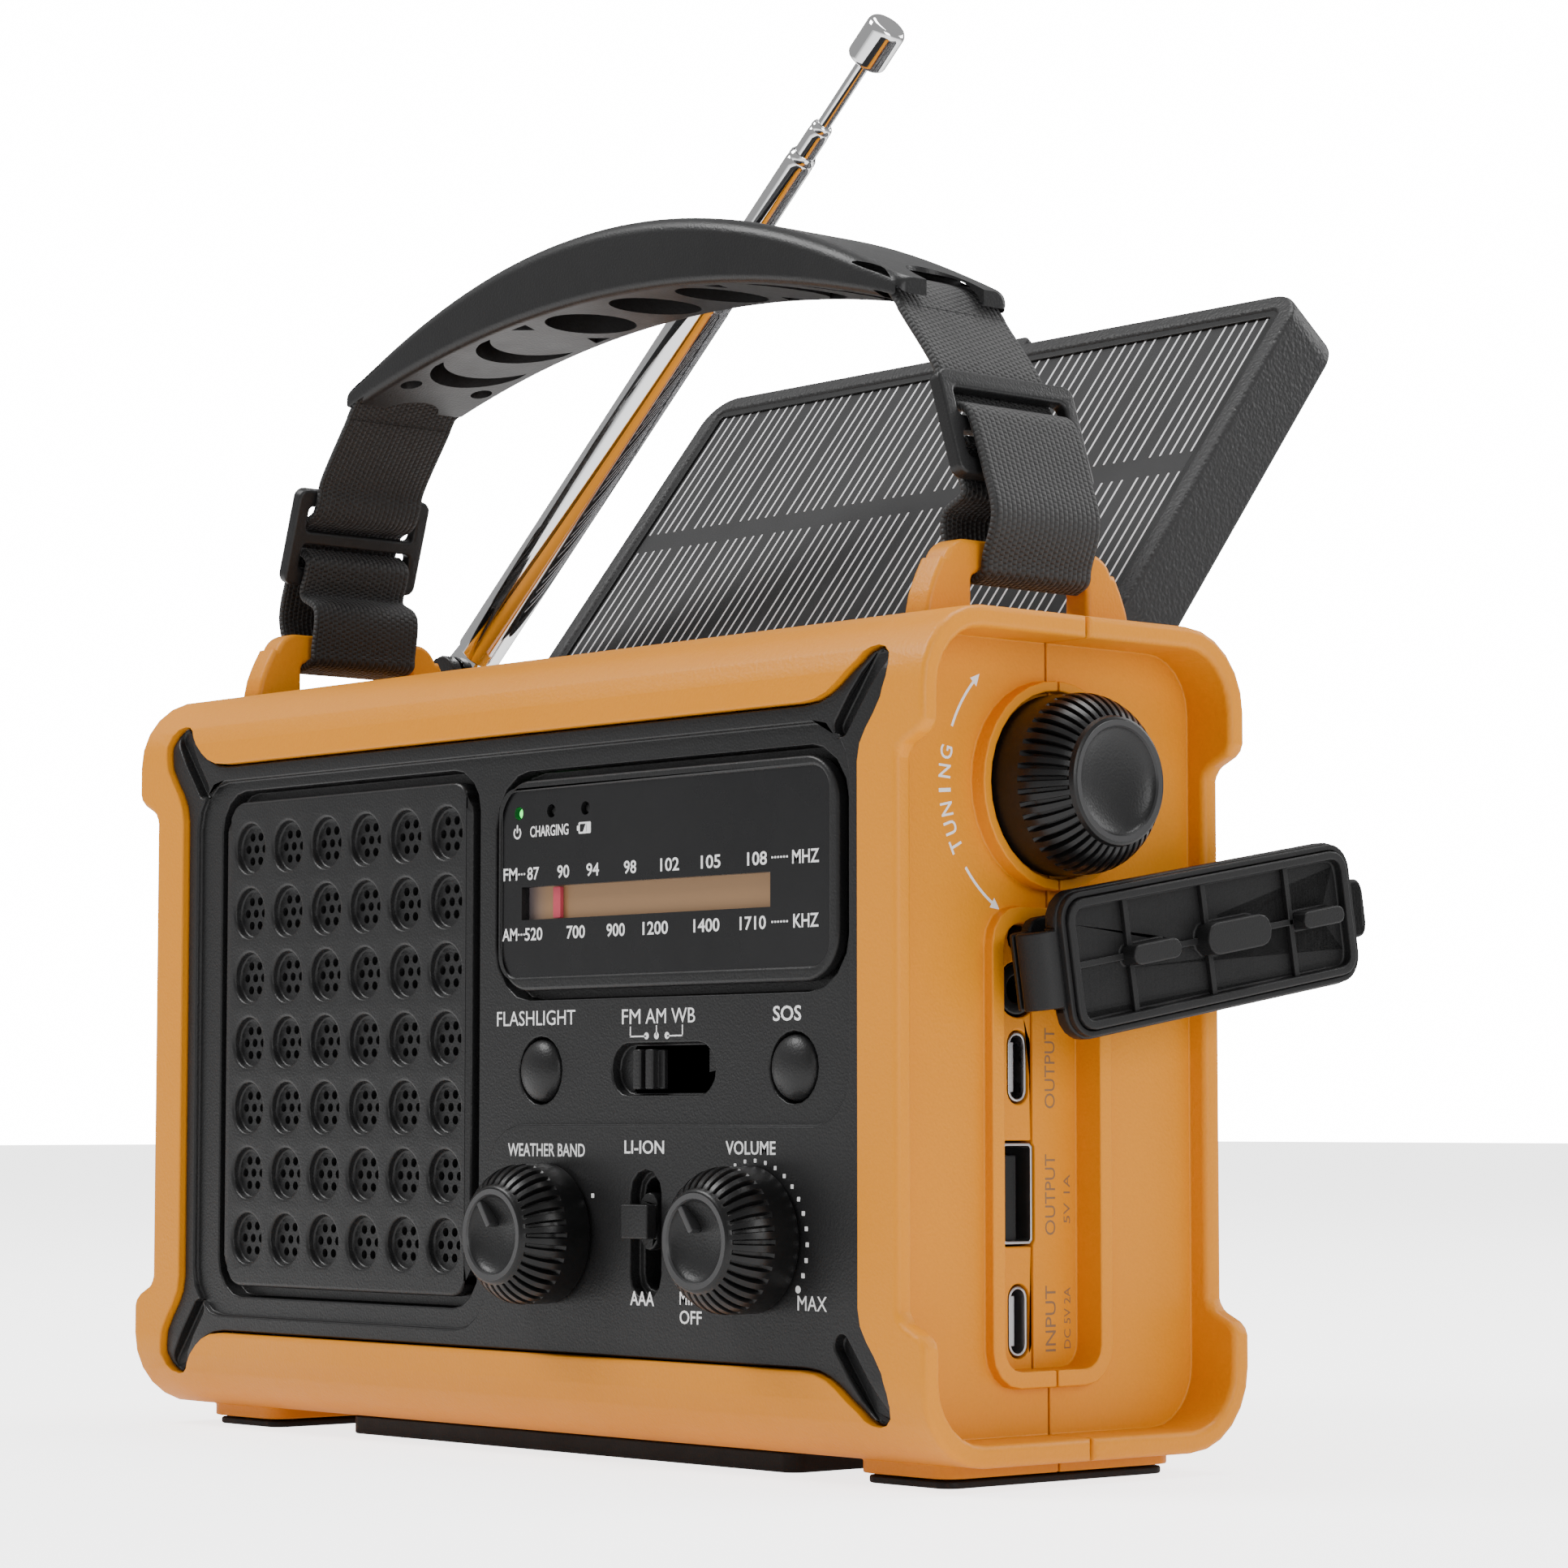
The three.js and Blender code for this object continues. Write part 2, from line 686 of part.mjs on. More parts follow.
function addDial() {
  const face = panelY + 0.3;
  const window = box(
    stripX0 - 0.5, stripX0 + stripLength + 0.5, face + 0.6, trayFloorY, stripZ0 - 0.4,
    stripZ0 + stripHeight + 0.4,
  );
  const opening = box(stripX0, stripX0 + stripLength, face - 1, face + 1, stripZ0, stripZ0 + stripHeight);
  add("dial_lens", "lens", cut(prism("Y", dialOutline(), face, trayFloorY - gap), window, opening));
  const scaleY = trayFloorY + 0.4;
  add(
    "dial_scale", "amber",
    box(
      stripX0 - 0.7, stripX0 + stripLength + 0.7, scaleY, scaleY + 1, stripZ0 + 0.3,
      stripZ0 + stripHeight - 0.3,
    ),
  );
  const pointer = box(
    pointerX - pointerWidth / 2, pointerX + pointerWidth / 2, face + 1, scaleY - gap, stripZ0 + 0.1,
    stripZ0 + stripHeight - 0.1,
  );
  add("dial_pointer", "pointer_red", pointer);
}

function addButtons() {
  const profile = [
    [0, panelY - buttonProud + stepDepth], [1.6, panelY - buttonProud + stepDepth + 0.1],
    [3.1, panelY - buttonProud + stepDepth + 0.5], [buttonRadius - 0.3, fieldY - 0.3],
    [buttonRadius, fieldY + 0.6], [buttonRadius, trayBackY + 0.6], [0, trayBackY + 0.6],
  ];
  add("light_button", "charcoal", turned("Y", profile, [lightX, 0, buttonZ], 20));
  add("sos_button", "charcoal", turned("Y", profile, [sosX, 0, buttonZ], 20));
}

function addSliders() {
  const bandRest = bandX - 4;
  const plate = box(
    bandRest - 3.2, bandRest + 3.2, fieldY + 0.9, trayBackY + 0.6, buttonZ - 2.7, buttonZ + 2.7,
  );
  const ridge = (dx) => box(
    bandRest + dx - 0.8, bandRest + dx + 0.8, fieldY - 0.2, fieldY + 1.2, buttonZ - 2.7,
    buttonZ + 2.7,
  );
  add("band_slider", "charcoal", join(plate, ridge(-1.3), ridge(1.3)));
  const [x, z] = [batterySlideX, knobZ + 2];
  const stem = prism(
    "Y", [...arcPoints(x, z + 2, 1.9, 0, 180, 6), ...arcPoints(x, z - 2, 1.9, 180, 360, 6)],
    panelY + 0.6, trayBackY + 0.6,
  );
  const cap = box(x - 2.8, x + 2.8, panelY - 2.1, panelY - gap, z - 2.3, z + 2.3);
  const neck = box(x - 1.4, x + 1.4, panelY - 1, panelY + 1, z - 2, z + 2);
  add("battery_slider", "charcoal", join(stem, cap, neck));
}

// A knob as (radius, distance out from its panel): dish, rim, taper, skirt, then its stem.
function knobProfile(radius, faceRadius, height, stemRadius, stemEnd) {
  return [
    [0, height - 2.2], [faceRadius * 0.55, height - 1.5], [faceRadius - 0.8, height - 0.1],
    [faceRadius, height], [faceRadius + 0.5, height - 0.5], [radius - 0.6, height * 0.46],
    [radius, height * 0.36], [radius, gap], [stemRadius, gap], [stemRadius, stemEnd], [0, stemEnd],
  ];
}

function addFrontKnobs() {
  const stemEnd = panelY - boardY + 14;
  const profile = knobProfile(knobRadius, knobFaceRadius, knobHeight, spindleRadius, stemEnd)
    .map(([r, out]) => [r, -out]);
  const pointerBar = (x) => {
    const bar = new THREE.BoxGeometry(1, 1.6, 5);
    bar.translate(0, 0, 3.2);
    bar.rotateY(THREE.MathUtils.degToRad(-35));
    bar.translate(x, panelY - knobHeight + 1.5, knobZ);
    return toSolid(bar);
  };
  const names = [["weather_knob", weatherX], ["volume_knob", volumeX]];
  for (const [name, x] of names) {
    add(name, "charcoal", join(turned("Y", profile, [x, panelY, knobZ], 32), pointerBar(x)));
  }
  const body = (x) => {
    const y0 = boardY - 14 + gap + gap;
    return cut(
      box(x - 8, x + 8, trayBackY + gap, boardY - gap, knobZ - 8, knobZ + 8),
      rod("Y", spindleRadius + gap, trayBackY, y0, [x, 0, knobZ], 16),
    );
  };
  add("weather_switch", "steel", body(weatherX));
  add("volume_control", "steel", body(volumeX));
}

function addTuning() {
  const face = sideFace + 0.9;
  const shaftRadius = spindleRadius - 0.6;
  const profile = knobProfile(
    tuningKnobRadius, tuningFaceRadius, tuningKnobHeight, shaftRadius, gap + 0.1,
  );
  const knob = turned("X", [...profile.slice(0, 8), [0, gap]], [face, tuningY, tuningZ], 36);
  const bore = rod("X", shaftRadius + gap, -3, 7.4, [face, tuningY, tuningZ], 16);
  add("tuning_knob", "charcoal", cut(knob, bore));
  const shaftEnd = cavityHalf - 16;
  add("tuning_shaft", "steel", rod("X", shaftRadius, shaftEnd, face + 7, [0, tuningY, tuningZ], 16));
  const body = box(shaftEnd - 14, cavityHalf - 6, boardY + 2, tuningY + 11, tuningZ - 9, tuningZ + 9);
  add(
    "tuning_capacitor", "steel",
    cut(body, rod("X", shaftRadius + gap, shaftEnd - gap, cavityHalf, [0, tuningY, tuningZ], 16)),
  );
}

// ---------------------------------------------------------------- right side ports

const tetherZ = pocketTop - 3.9;

function ports() {
  const round = arcPoints(0, 0, 3.4, 0, 345, 23);
  const usbC = roundedRect(-1.65, 1.65, -4.55, 4.55, 1.6, 5);
  const usbA = roundedRect(-2.75, 2.75, -6.6, 6.6, 0.5, 1);
  return [
    {
      name: "headphone_jack", z: pocketTop - 10.6, outline: round, grow: gap,
      inner: arcPoints(0, 0, 1.8, 0, 345, 11),
    },
    {
      name: "usb_c_output", z: pocketTop - 20.8, outline: usbC, grow: gap, inner: grown(usbC, -0.4),
      tongue: [0.35, 3.3],
    },
    {
      name: "usb_a_output", z: pocketTop - 37.3, outline: usbA, grow: gap, inner: grown(usbA, -0.4),
      tongue: null,
    },
    {
      name: "usb_c_input", z: pocketTop - 53.9, outline: usbC, grow: gap, inner: grown(usbC, -0.4),
      tongue: [0.35, 3.3],
    },
  ];
}

function addPorts() {
  const back = pocketFloor - 14;
  for (const { name, z, outline, inner, tongue } of ports()) {
    const place = (list) => list.map(([y, dz]) => [y + portLine, dz + z]);
    let port = cut(
      prism("X", place(outline), back, pocketFloor - 0.2),
      prism("X", place(inner), back + 2, pocketFloor + 1),
    );
    if (tongue) {
      const [t, w] = tongue;
      port = join(port, box(back + 1, pocketFloor - 1.2, portLine - t, portLine + t, z - w, z + w));
    }
    add(name, name === "headphone_jack" ? "soft_black" : "steel", port);
  }
}

// The rubber cover hangs open from its tether, folded back on itself at a living hinge.
function addPortCover() {
  const tether = pivot([0, portLine, tetherZ], "x", flapTilt);
  const flapX = halfWidth + cornerBump + 0.7;
  const z0 = 6.2 - flapWidth;
  const zc = 6.2 - flapWidth / 2;
  const outline = roundedRect(-6.5, flapLength - 6.5, z0, z0 + flapWidth, 4, 4);
  const plate = prism("X", outline, flapX, flapX + flapThickness);
  const rim = prism(
    "X", grown(outline, -1.2), flapX + 1, flapX + flapThickness + 1.4,
    [grown(outline, -2.4).reverse()],
  );
  const plugs = [[9, 9, 2.7], [25, 12.4, 4.3], [42, 8.2, 2.4]].map(([y, length, width]) =>
    prism(
      "X",
      roundedRect(y - length / 2, y + length / 2, zc - width / 2, zc + width / 2, width / 2.2, 3),
      flapX + 1, flapX + flapThickness + 2.8,
    ),
  );
  const tab = prism(
    "X", roundedRect(flapLength - 8, flapLength - 3.5, zc - 4, zc + 4, 1.8, 3), flapX,
    flapX + flapThickness,
  );
  const web = flapThickness - 0.2;
  const stripX = halfWidth + 0.6;
  const bendRadius = (flapX + flapThickness - stripX) / 2;
  const bendX = stripX + bendRadius;
  const bendPath = arcPoints(bendX, -6.5, bendRadius - web / 2, 180, 360, 10);
  const bend = band(
    "Z", [[stripX + web / 2, -4], ...bendPath, [flapX + flapThickness - web / 2, -5]], web, zc - 5,
    zc + 5,
  );
  const foldY = -6.5 - bendRadius + web / 2;
  const near = (x0, x1) => box(x0, x1, -30, 10, -30, 30);
  const roll = rod("Z", web / 2, zc - 5, zc + 5, [bendX, foldY, 0], 12);
  const fold = join(cut(bend, near(0, bendX)), roll);
  add("port_cover", "soft_black", join(plate, rim, tab, fold, ...plugs), tether);
  const strip = prism("X", roundedRect(-6, 3, zc - 5, 3, 2, 3), stripX, stripX + web);
  const tail = cut(bend, near(bendX - web / 2 - gap, 200));
  const pin = rod("X", 1.5, pocketFloor - 6, stripX + 1, [0, 0, 0], 12);
  const barb = turned(
    "X", [[0, 0], [1, 0], [2.3, 2.4], [1.4, 2.8], [0, 2.8]], [pocketFloor - 8, 0, 0], 12,
  );
  add("port_cover_tether", "soft_black", join(strip, tail, pin, barb), tether);
}

// ---------------------------------------------------------------- left side: torch and battery door

function doorOutline() {
  return roundedRect(cellRowY - 18.4, cellRowY + 18.4, zBase + 7, zBase + 7 + cellLength + 6, 3, 3);
}

function addTorch() {
  const lip = -sideFace;
  add("torch_lens", "clear", rod("X", torchRadius, lip, lip + 1.4, [0, 0, torchZ], 28));
  const dish = [
    [2.6, 13], [5, 9.5], [9.5, 4.2], [torchRadius - 1, 0], [torchRadius, 0], [torchRadius, 1.2],
    [10.6, 5.4], [6.2, 11], [4.2, 15], [2.6, 15], [2.6, 13],
  ];
  add("torch_reflector", "chrome", turned("X", dish, [lip + 1.4 + gap, 0, torchZ], 28));
}

function addBatteryDoor() {
  const [x0, x1] = [-sideFace, -cavityHalf];
  const plate = prism("X", doorOutline(), x0, x1);
  const catchBump = box(
    x0 - 1, x0 + 1, cellRowY - 5, cellRowY + 5, zBase + 7 + cellLength + 1.6,
    zBase + 7 + cellLength + 3.4,
  );
  add("battery_door", "orange", join(plate, catchBump));
  const z0 = zBase + wall + 4;
  for (let i = 0; i < 3; i++) {
    const y = cellRowY + (i - 1) * (2 * cellRadius + cellGap);
    const nib = i % 2 === 0 ? [[0, cellLength], [2, cellLength]] : [[0, cellLength], [3, cellLength]];
    const profile = [
      [0, 0], [cellRadius, 0], [cellRadius, cellLength - 1], nib[1], [2, cellLength], nib[0],
    ];
    add("aaa_cell_" + (i + 1), "cell", turned("Z", profile, [-cavityHalf + gap + cellRadius, y, z0], 16));
  }
}

// ---------------------------------------------------------------- handle

// The handle's webbing path on one side, as (distance from the middle, height).
const buckleU = 74.4;
const buckleZ = zTop + 25.9;
const buckleLean = THREE.MathUtils.degToRad(17.8);

function onBuckle(t, h) {
  return [
    buckleU + t * Math.cos(buckleLean) - h * Math.sin(buckleLean),
    buckleZ + t * Math.sin(buckleLean) + h * Math.cos(buckleLean),
  ];
}

// Where the webbing lies inside the end of the grip and leaves it downwards.
function strapInGrip() {
  return curvePoints(
    [
      [gripHalf - 9, gripUnder(gripHalf - 9) + 2.7],
      [gripHalf - 4.5, gripUnder(gripHalf - 4.5) + 2.3],
      [gripHalf - 1.2, gripUnder(gripHalf) + 0.2],
      [gripHalf + 0.9, gripUnder(gripHalf) - 3.2],
    ],
    8,
  );
}

function addStraps() {
  const under = zTop + lugTop - 4.4 - gap - webThickness / 2; // below the lug's bar
  const clear = lugThickness / 2 + gap + webThickness / 2;
  const weave = [
    onBuckle(-1.9, 11), onBuckle(-1.9, 8), onBuckle(-1.9, 4.7), onBuckle(1.9, 1.6),
    onBuckle(1.9, -1.6),
  ];
  const upper = [...strapInGrip(), ...weave];
  const outerRun = curvePoints(
    [
      onBuckle(1.9, -1.6), onBuckle(2.1, -7.5), [lugX + clear + 1.6, zTop + 13.5],
      [lugX + clear, zTop + 8], [lugX + clear - 0.3, under + 0.3], [lugX + 1, under - 0.1],
    ],
    12,
  ).slice(1);
  const innerRun = [
    ...curvePoints(
      [
        [lugX + 1.4, under - 0.1], [lugX - clear + 0.3, under + 0.3], [lugX - clear - 0.3, zTop + 8],
        [lugX - clear - 0.9, zTop + 14], onBuckle(-2, -8), onBuckle(-1.9, -4.7),
      ],
      12,
    ),
    onBuckle(1.5, -1.9),
  ];
  for (const [name, s] of [["strap_left", -1], ["strap_right", 1]]) {
    const flip = (list) => list.map(([u, z]) => [s * u, z]);
    const [y0, y1] = [handleY - webWidth / 2, handleY + webWidth / 2];
    add(name, "webbing", join(
      band("Y", flip([...upper, ...outerRun]), webThickness, y0, y1),
      band("Y", flip(innerRun), webThickness, y0, y1),
    ));
  }
  for (const [name, s] of [["buckle_left", -1], ["buckle_right", 1]]) {
    const y0 = handleY - webWidth / 2 - 0.5;
    const y1 = handleY + webWidth / 2 + 0.5;
    const bar = (h, ya, yb) => {
      const corners = [
        onBuckle(-0.9, h - 1.1), onBuckle(0.9, h - 1.1), onBuckle(0.9, h + 1.1),
        onBuckle(-0.9, h + 1.1),
      ];
      return prism("Y", corners.map(([u, z]) => [s * u, z]), ya, yb);
    };
    const rail = (ya, yb) => {
      const corners = [
        onBuckle(-1.1, -7.4), onBuckle(1.1, -7.4), onBuckle(1.1, 7.4), onBuckle(-1.1, 7.4),
      ];
      return prism("Y", corners.map(([u, z]) => [s * u, z]), ya, yb);
    };
    add(name, "charcoal", join(
      rail(y0 - 2.2, y0), rail(y1, y1 + 2.2),
      ...[-6.3, 0, 6.3].map((h) => bar(h, y0 - 1, y1 + 1)),
    ));
  }
}

function gripOver(x) {
  return zTop + gripApex - gripRise * (x / gripHalf) ** 2;
}

function gripUnder(x) {
  return zTop + gripApex - gripMiddle - gripUnderRise * (x / gripHalf) ** 2;
}

// An arched bar that thins towards its ends, with wells in its underside and a slit at each
// end that the webbing runs into.
function addGrip() {
  const [y0, y1] = [handleY - gripWidth / 2, handleY + gripWidth / 2];
  const stations = Array.from({ length: 21 }, (_, i) => gripHalf * (1 - i / 10));
  const arch = [
    ...stations.map((x) => [x, gripOver(x)]), ...stations.map((x) => [x, gripUnder(x)]).reverse(),
  ];
  const deep = zTop + 30;
  const wells = [];
  for (let i = -1; i <= 1; i++) {
    const oval = new THREE.EllipseCurve(i * 15, handleY, 5.4, 6.6, 0, 2 * Math.PI, false, 0.5);
    const outline = oval.getPoints(12).slice(0, 12).map((p) => [p.x, p.y]);
    wells.push(prism("Z", outline, deep, gripOver(i * 15) - 4));
  }
  for (const s of [-1, 1]) {
    for (const x of [29.5, 41]) {
      const outer = arcPoints(x, handleY, 7.6, -78, 78, 8);
      const inner = arcPoints(x - 4.6, handleY, 8.6, 60, -60, 6);
      const crescent = [...outer, ...inner].map(([a, b]) => [s * a, b]);
      wells.push(prism("Z", s < 0 ? crescent.reverse() : crescent, deep, gripUnder(x + 4) + 2.6));
    }
    for (const dy of [-6.8, 6.8]) {
      wells.push(rod(
        "Z", 1.7, deep, gripUnder(gripHalf - 13) + 1.8, [s * (gripHalf - 13), handleY + dy, 0], 10,
      ));
    }
    const notch = [
      [gripHalf + 1, -5.4], [gripHalf + 1, 5.4], ...arcPoints(gripHalf - 2, 0, 5.4, 90, 270, 6),
    ];
    const placed = notch.map(([a, b]) => [s * a, b + handleY]);
    wells.push(prism("Z", s < 0 ? placed.reverse() : placed, deep, zTop + 80));
    const path = [
      [gripHalf - 9.6, gripUnder(gripHalf - 9) + 2.7], ...strapInGrip(),
    ].map(([a, z]) => [s * a, z]);
    wells.push(band("Y", path, webThickness + 2 * gap, y0 - 1, y1 + 1));
    const [a, b] = [s * (gripHalf - 4.2), s * (gripHalf + 3)].sort((p, q) => p - q);
    wells.push(box(a, b, y0 - 1, y1 + 1, deep, gripUnder(gripHalf - 4.5) + 1.6));
  }
  add("handle_grip", "charcoal", cut(prism("Y", arch, y0, y1), ...wells));
}

// ---------------------------------------------------------------- antenna

const antennaZ = zTop + antennaAxisHeight;

function addAntenna() {
  const [x, y, z] = [antennaX, antennaY, antennaZ];
  const fork = prism(
    "Y",
    [[x - 4, zTop + gap], [x + 4, zTop + gap], [x + 4, z], ...arcPoints(x, z, 4, 20, 160, 6), [x - 4, z]],
    y - 4.1,
    y + 4.1,
  );
  const slot = box(x - 6, x + 6, y - 2.3, y + 2.3, z - 4.4, z + 6);
  const pin = rod("Y", 1.2, -4, 4, [x, y, z], 12);
  add("antenna_knuckle", "charcoal", join(cut(fork, slot), pin));

  const mast = pivot([x, y, z], "y", -antennaTilt);
  let end = 0;
  tubeRadii.forEach((radius, i) => {
    end += tubeShown[i];
    const inner = i + 1 < tubeRadii.length ? tubeRadii[i + 1] + tubeClearance : 0;
    let solid;
    if (i === 0) {
      const tongue = cut(
        join(rod("Y", 3.7, -2, 2, [0, 0, 0], 16), box(0, 9, -2, 2, -2.6, 2.6)),
        rod("Y", 1.2 + gap, -3, 3, [0, 0, 0], 12),
      );
      const tube = turned(
        "X",
        [
          [0, 6.5], [radius, 6.5], [radius, end], [inner, end], [inner, end - tubeLength + 6],
          [0, end - tubeLength + 6],
        ],
        [0, 0, 0], 16,
      );
      solid = join(tongue, tube);
    } else if (inner) {
      const start = end - tubeLength + 6 + 2 * i;
      solid = turned(
        "X",
        [
          [0, start], [radius, start], [radius, end], [inner, end], [inner, start + 1.5],
          [0, start + 1.5],
        ],
        [0, 0, 0], 16,
      );
    } else {
      const start = end - tubeLength + 6 + 2 * i;
      solid = turned("X", [
        [0, start], [radius, start], [radius, end], [capRadius - 0.4, end], [capRadius, end + 0.6],
        [capRadius, end + capLength - 0.8], [capRadius - 0.8, end + capLength], [0, end + capLength],
      ], [0, 0, 0], 16);
    }
    add("antenna_section_" + (i + 1), "chrome", solid, mast);
  });
}

// ---------------------------------------------------------------- solar panel

// Drawn lying flat: (X, distance from the hinge, height above the hinge), then tilted up.
function addSolarPanel() {
  const panel = pivot([0, solarHingeY, solarHingeZ], "x", solarTilt);
  const [s0, s1] = [solarNear, solarNear + solarLength];
  const [n0, n1] = [solarLift - solarThickness, solarLift];
  const bezel = 3.4;
  const body = prism("Z", roundedRect(-solarHalf, solarHalf, s0, s1, 6, 4), n0, n1);
  const well = prism(
    "Z", roundedRect(-solarHalf + bezel, solarHalf - bezel, s0 + bezel, s1 - bezel, 3, 3), n1 - 1.8,
    n1 + 1,
  );
  const arm = (x0, x1) => join(
    box(x0, x1, 0, s0 + 2, -2, 2),
    rod("X", 2, x0, x1, [0, 0, 0], 12),
  );
  const latch = box(-6, 6, s1 - 1, s1 + 3.2, n1 - 5.4, n1 - 1.4);
  const bore = rod("X", hingePinRadius + gap, -solarHalf - 1, solarHalf + 1, [0, 0, 0], 12);
  const frame = cut(
    join(body, arm(-solarHalf + 2, -solarHalf + 12), arm(solarHalf - 12, solarHalf - 2), latch),
    well, bore,
  );
  add("solar_frame", "solar", frame, panel);
  const cells = prism(
    "Z",
    roundedRect(
      -solarHalf + bezel + gap, solarHalf - bezel - gap, s0 + bezel + gap, s1 - bezel - gap, 2.7, 3,
    ),
    n1 - 1.8 + gap,
    n1 - 0.6,
  );
  add("solar_cells", "solar", cells, panel);
  const pinHalf = recessHalf + wall - 1.2;
  add(
    "solar_hinge_pin", "steel",
    rod("X", hingePinRadius, -pinHalf, pinHalf, [0, solarHingeY, solarHingeZ], 12),
  );
}

// ---------------------------------------------------------------- crank and generator

function gearOutline(teeth, phase) {
  const pitch = (teeth * gearModule) / 2;
  const root = pitch - 1.15 * gearModule;
  const tip = pitch + 0.85 * gearModule;
  const step = 360 / teeth;
  const points = [];
  for (let i = 0; i < teeth; i++) {
    const a = step * (i + phase);
    for (const [radius, share] of [[root, -0.27], [tip, -0.1], [tip, 0.1], [root, 0.27]]) {
      const turn = THREE.MathUtils.degToRad(a + step * share);
      points.push([radius * Math.cos(turn), radius * Math.sin(turn)]);
    }
  }
  return points;
}

const gearY = yRear - wall - 5.7;
const pinionX = crankX - ((gearTeeth + pinionTeeth) * gearModule) / 2 - gearBacklash;

function addCrank() {
  const armY = yRear + 4.1;
  const foldY = armY + armThickness + crankGripRadius + gap + 0.1;
  const hubDisc = turned("Y", [
    [0, yRear + gap], [crankHubRadius, yRear + gap], [crankHubRadius, yRear + 2.6],
    [crankHubRadius - 1.2, yRear + 3.8], [0, yRear + 3.8],
  ], [crankX, 0, crankZ], 28);
  const shaft = rod("Y", spindleRadius, gearY - 1, yRear + 1, [crankX, 0, crankZ], 16);
  add("crank_hub", "charcoal", join(hubDisc, shaft));
  const tipX = crankX - crankLength;
  const armOutline = [
    ...arcPoints(crankX, crankZ, crankWidth / 2 + 2, -90, 90, 8),
    ...arcPoints(tipX, crankZ, crankWidth / 2, 90, 270, 8),
  ];
  const arm = prism("Y", armOutline, armY, armY + armThickness);
  const lug = (z) => box(tipX - 3, tipX + 3, armY + 1, foldY + 2.2, z, z + 1.6);
  add("crank_arm", "charcoal", join(arm, lug(crankZ - 4.4), lug(crankZ + 2.8)));
  const post = join(
    rod("Z", 1.8, -2.4, 2.4, [tipX, foldY, crankZ], 12),
    box(tipX, tipX + 5.4, foldY - 1.8, foldY + 1.8, crankZ - 2.4, crankZ + 2.4),
    rod("X", 1.6, tipX + 4, tipX + 25, [0, foldY, crankZ], 12),
    rod("X", 2.5, tipX + 24.4, tipX + 25.6, [0, foldY, crankZ], 12),
  );
  add("crank_grip_post", "steel", post);
  const bore = 1.6 + gap;
  const r = crankGripRadius;
  const grip = turned("X", [
    [bore, 6], [r - 0.8, 6], [r, 8], [r - 0.2, 15], [r, 22], [r - 0.8, 24.1], [bore, 24.1], [bore, 6],
  ], [tipX, foldY, crankZ], 16);
  add("crank_grip", "charcoal", grip);

  const gear = cut(
    prism(
      "Y", gearOutline(gearTeeth, 0).map(([a, b]) => [a + crankX, b + crankZ]), gearY - 0.4,
      gearY + 2.6,
    ),
    rod("Y", spindleRadius + gap, gearY - 3, gearY + 5, [crankX, 0, crankZ], 16),
  );
  add("crank_gear", "steel", gear);
  // a tooth of the big gear faces a gap of the pinion
  const pinion = prism(
    "Y", gearOutline(pinionTeeth, 0.5).map(([a, b]) => [a + pinionX, b + crankZ]), gearY - 1,
    gearY + 3,
  );
  const pinionShaft = rod("Y", 1.2, gearY - 4, gearY, [pinionX, 0, crankZ], 10);
  add("generator_pinion", "steel", join(pinion, pinionShaft));
  const generator = cut(
    rod("Y", 10, 0, gearY - 2.4, [pinionX, 0, crankZ], 24),
    rod("Y", 1.2 + gap, gearY - 6, gearY, [pinionX, 0, crankZ], 10),
  );
  add("generator", "steel", generator);
}

// ---------------------------------------------------------------- inside

function addInside() {
  const board = prism(
    "Y", roundedRect(grilleX1 + 6, cavityHalf - 8, zBase + wall + 6, zTop - wall - 8, 3, 2), boardY,
    boardY + 1.6,
  );
  add("main_board", "board", board);
  const cellX1 = pinionX - 10 - 2;
  add("li_ion_cell", "cell", turned(
    "X",
    [
      [0, 0], [lithiumRadius, 0], [lithiumRadius, lithiumLength - 1],
      [lithiumRadius - 1, lithiumLength], [0, lithiumLength],
    ],
    [cellX1 - lithiumLength, yRear - wall - lithiumRadius - 2.6, zBase + wall + lithiumRadius + 1.4],
    20,
  ));
}

addShells();
addLugs();
addFeet();
addFrontPanel();
addSpeaker();
addDial();
addButtons();
addSliders();
addFrontKnobs();
addTuning();
addPorts();
addPortCover();
addTorch();
addBatteryDoor();
addStraps();
addGrip();
addAntenna();
addSolarPanel();
addCrank();
addInside();

export default radio;
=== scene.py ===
import json
import math

import bmesh
import bpy
from mathutils import Matrix, Vector
from mathutils.geometry import tessellate_polygon

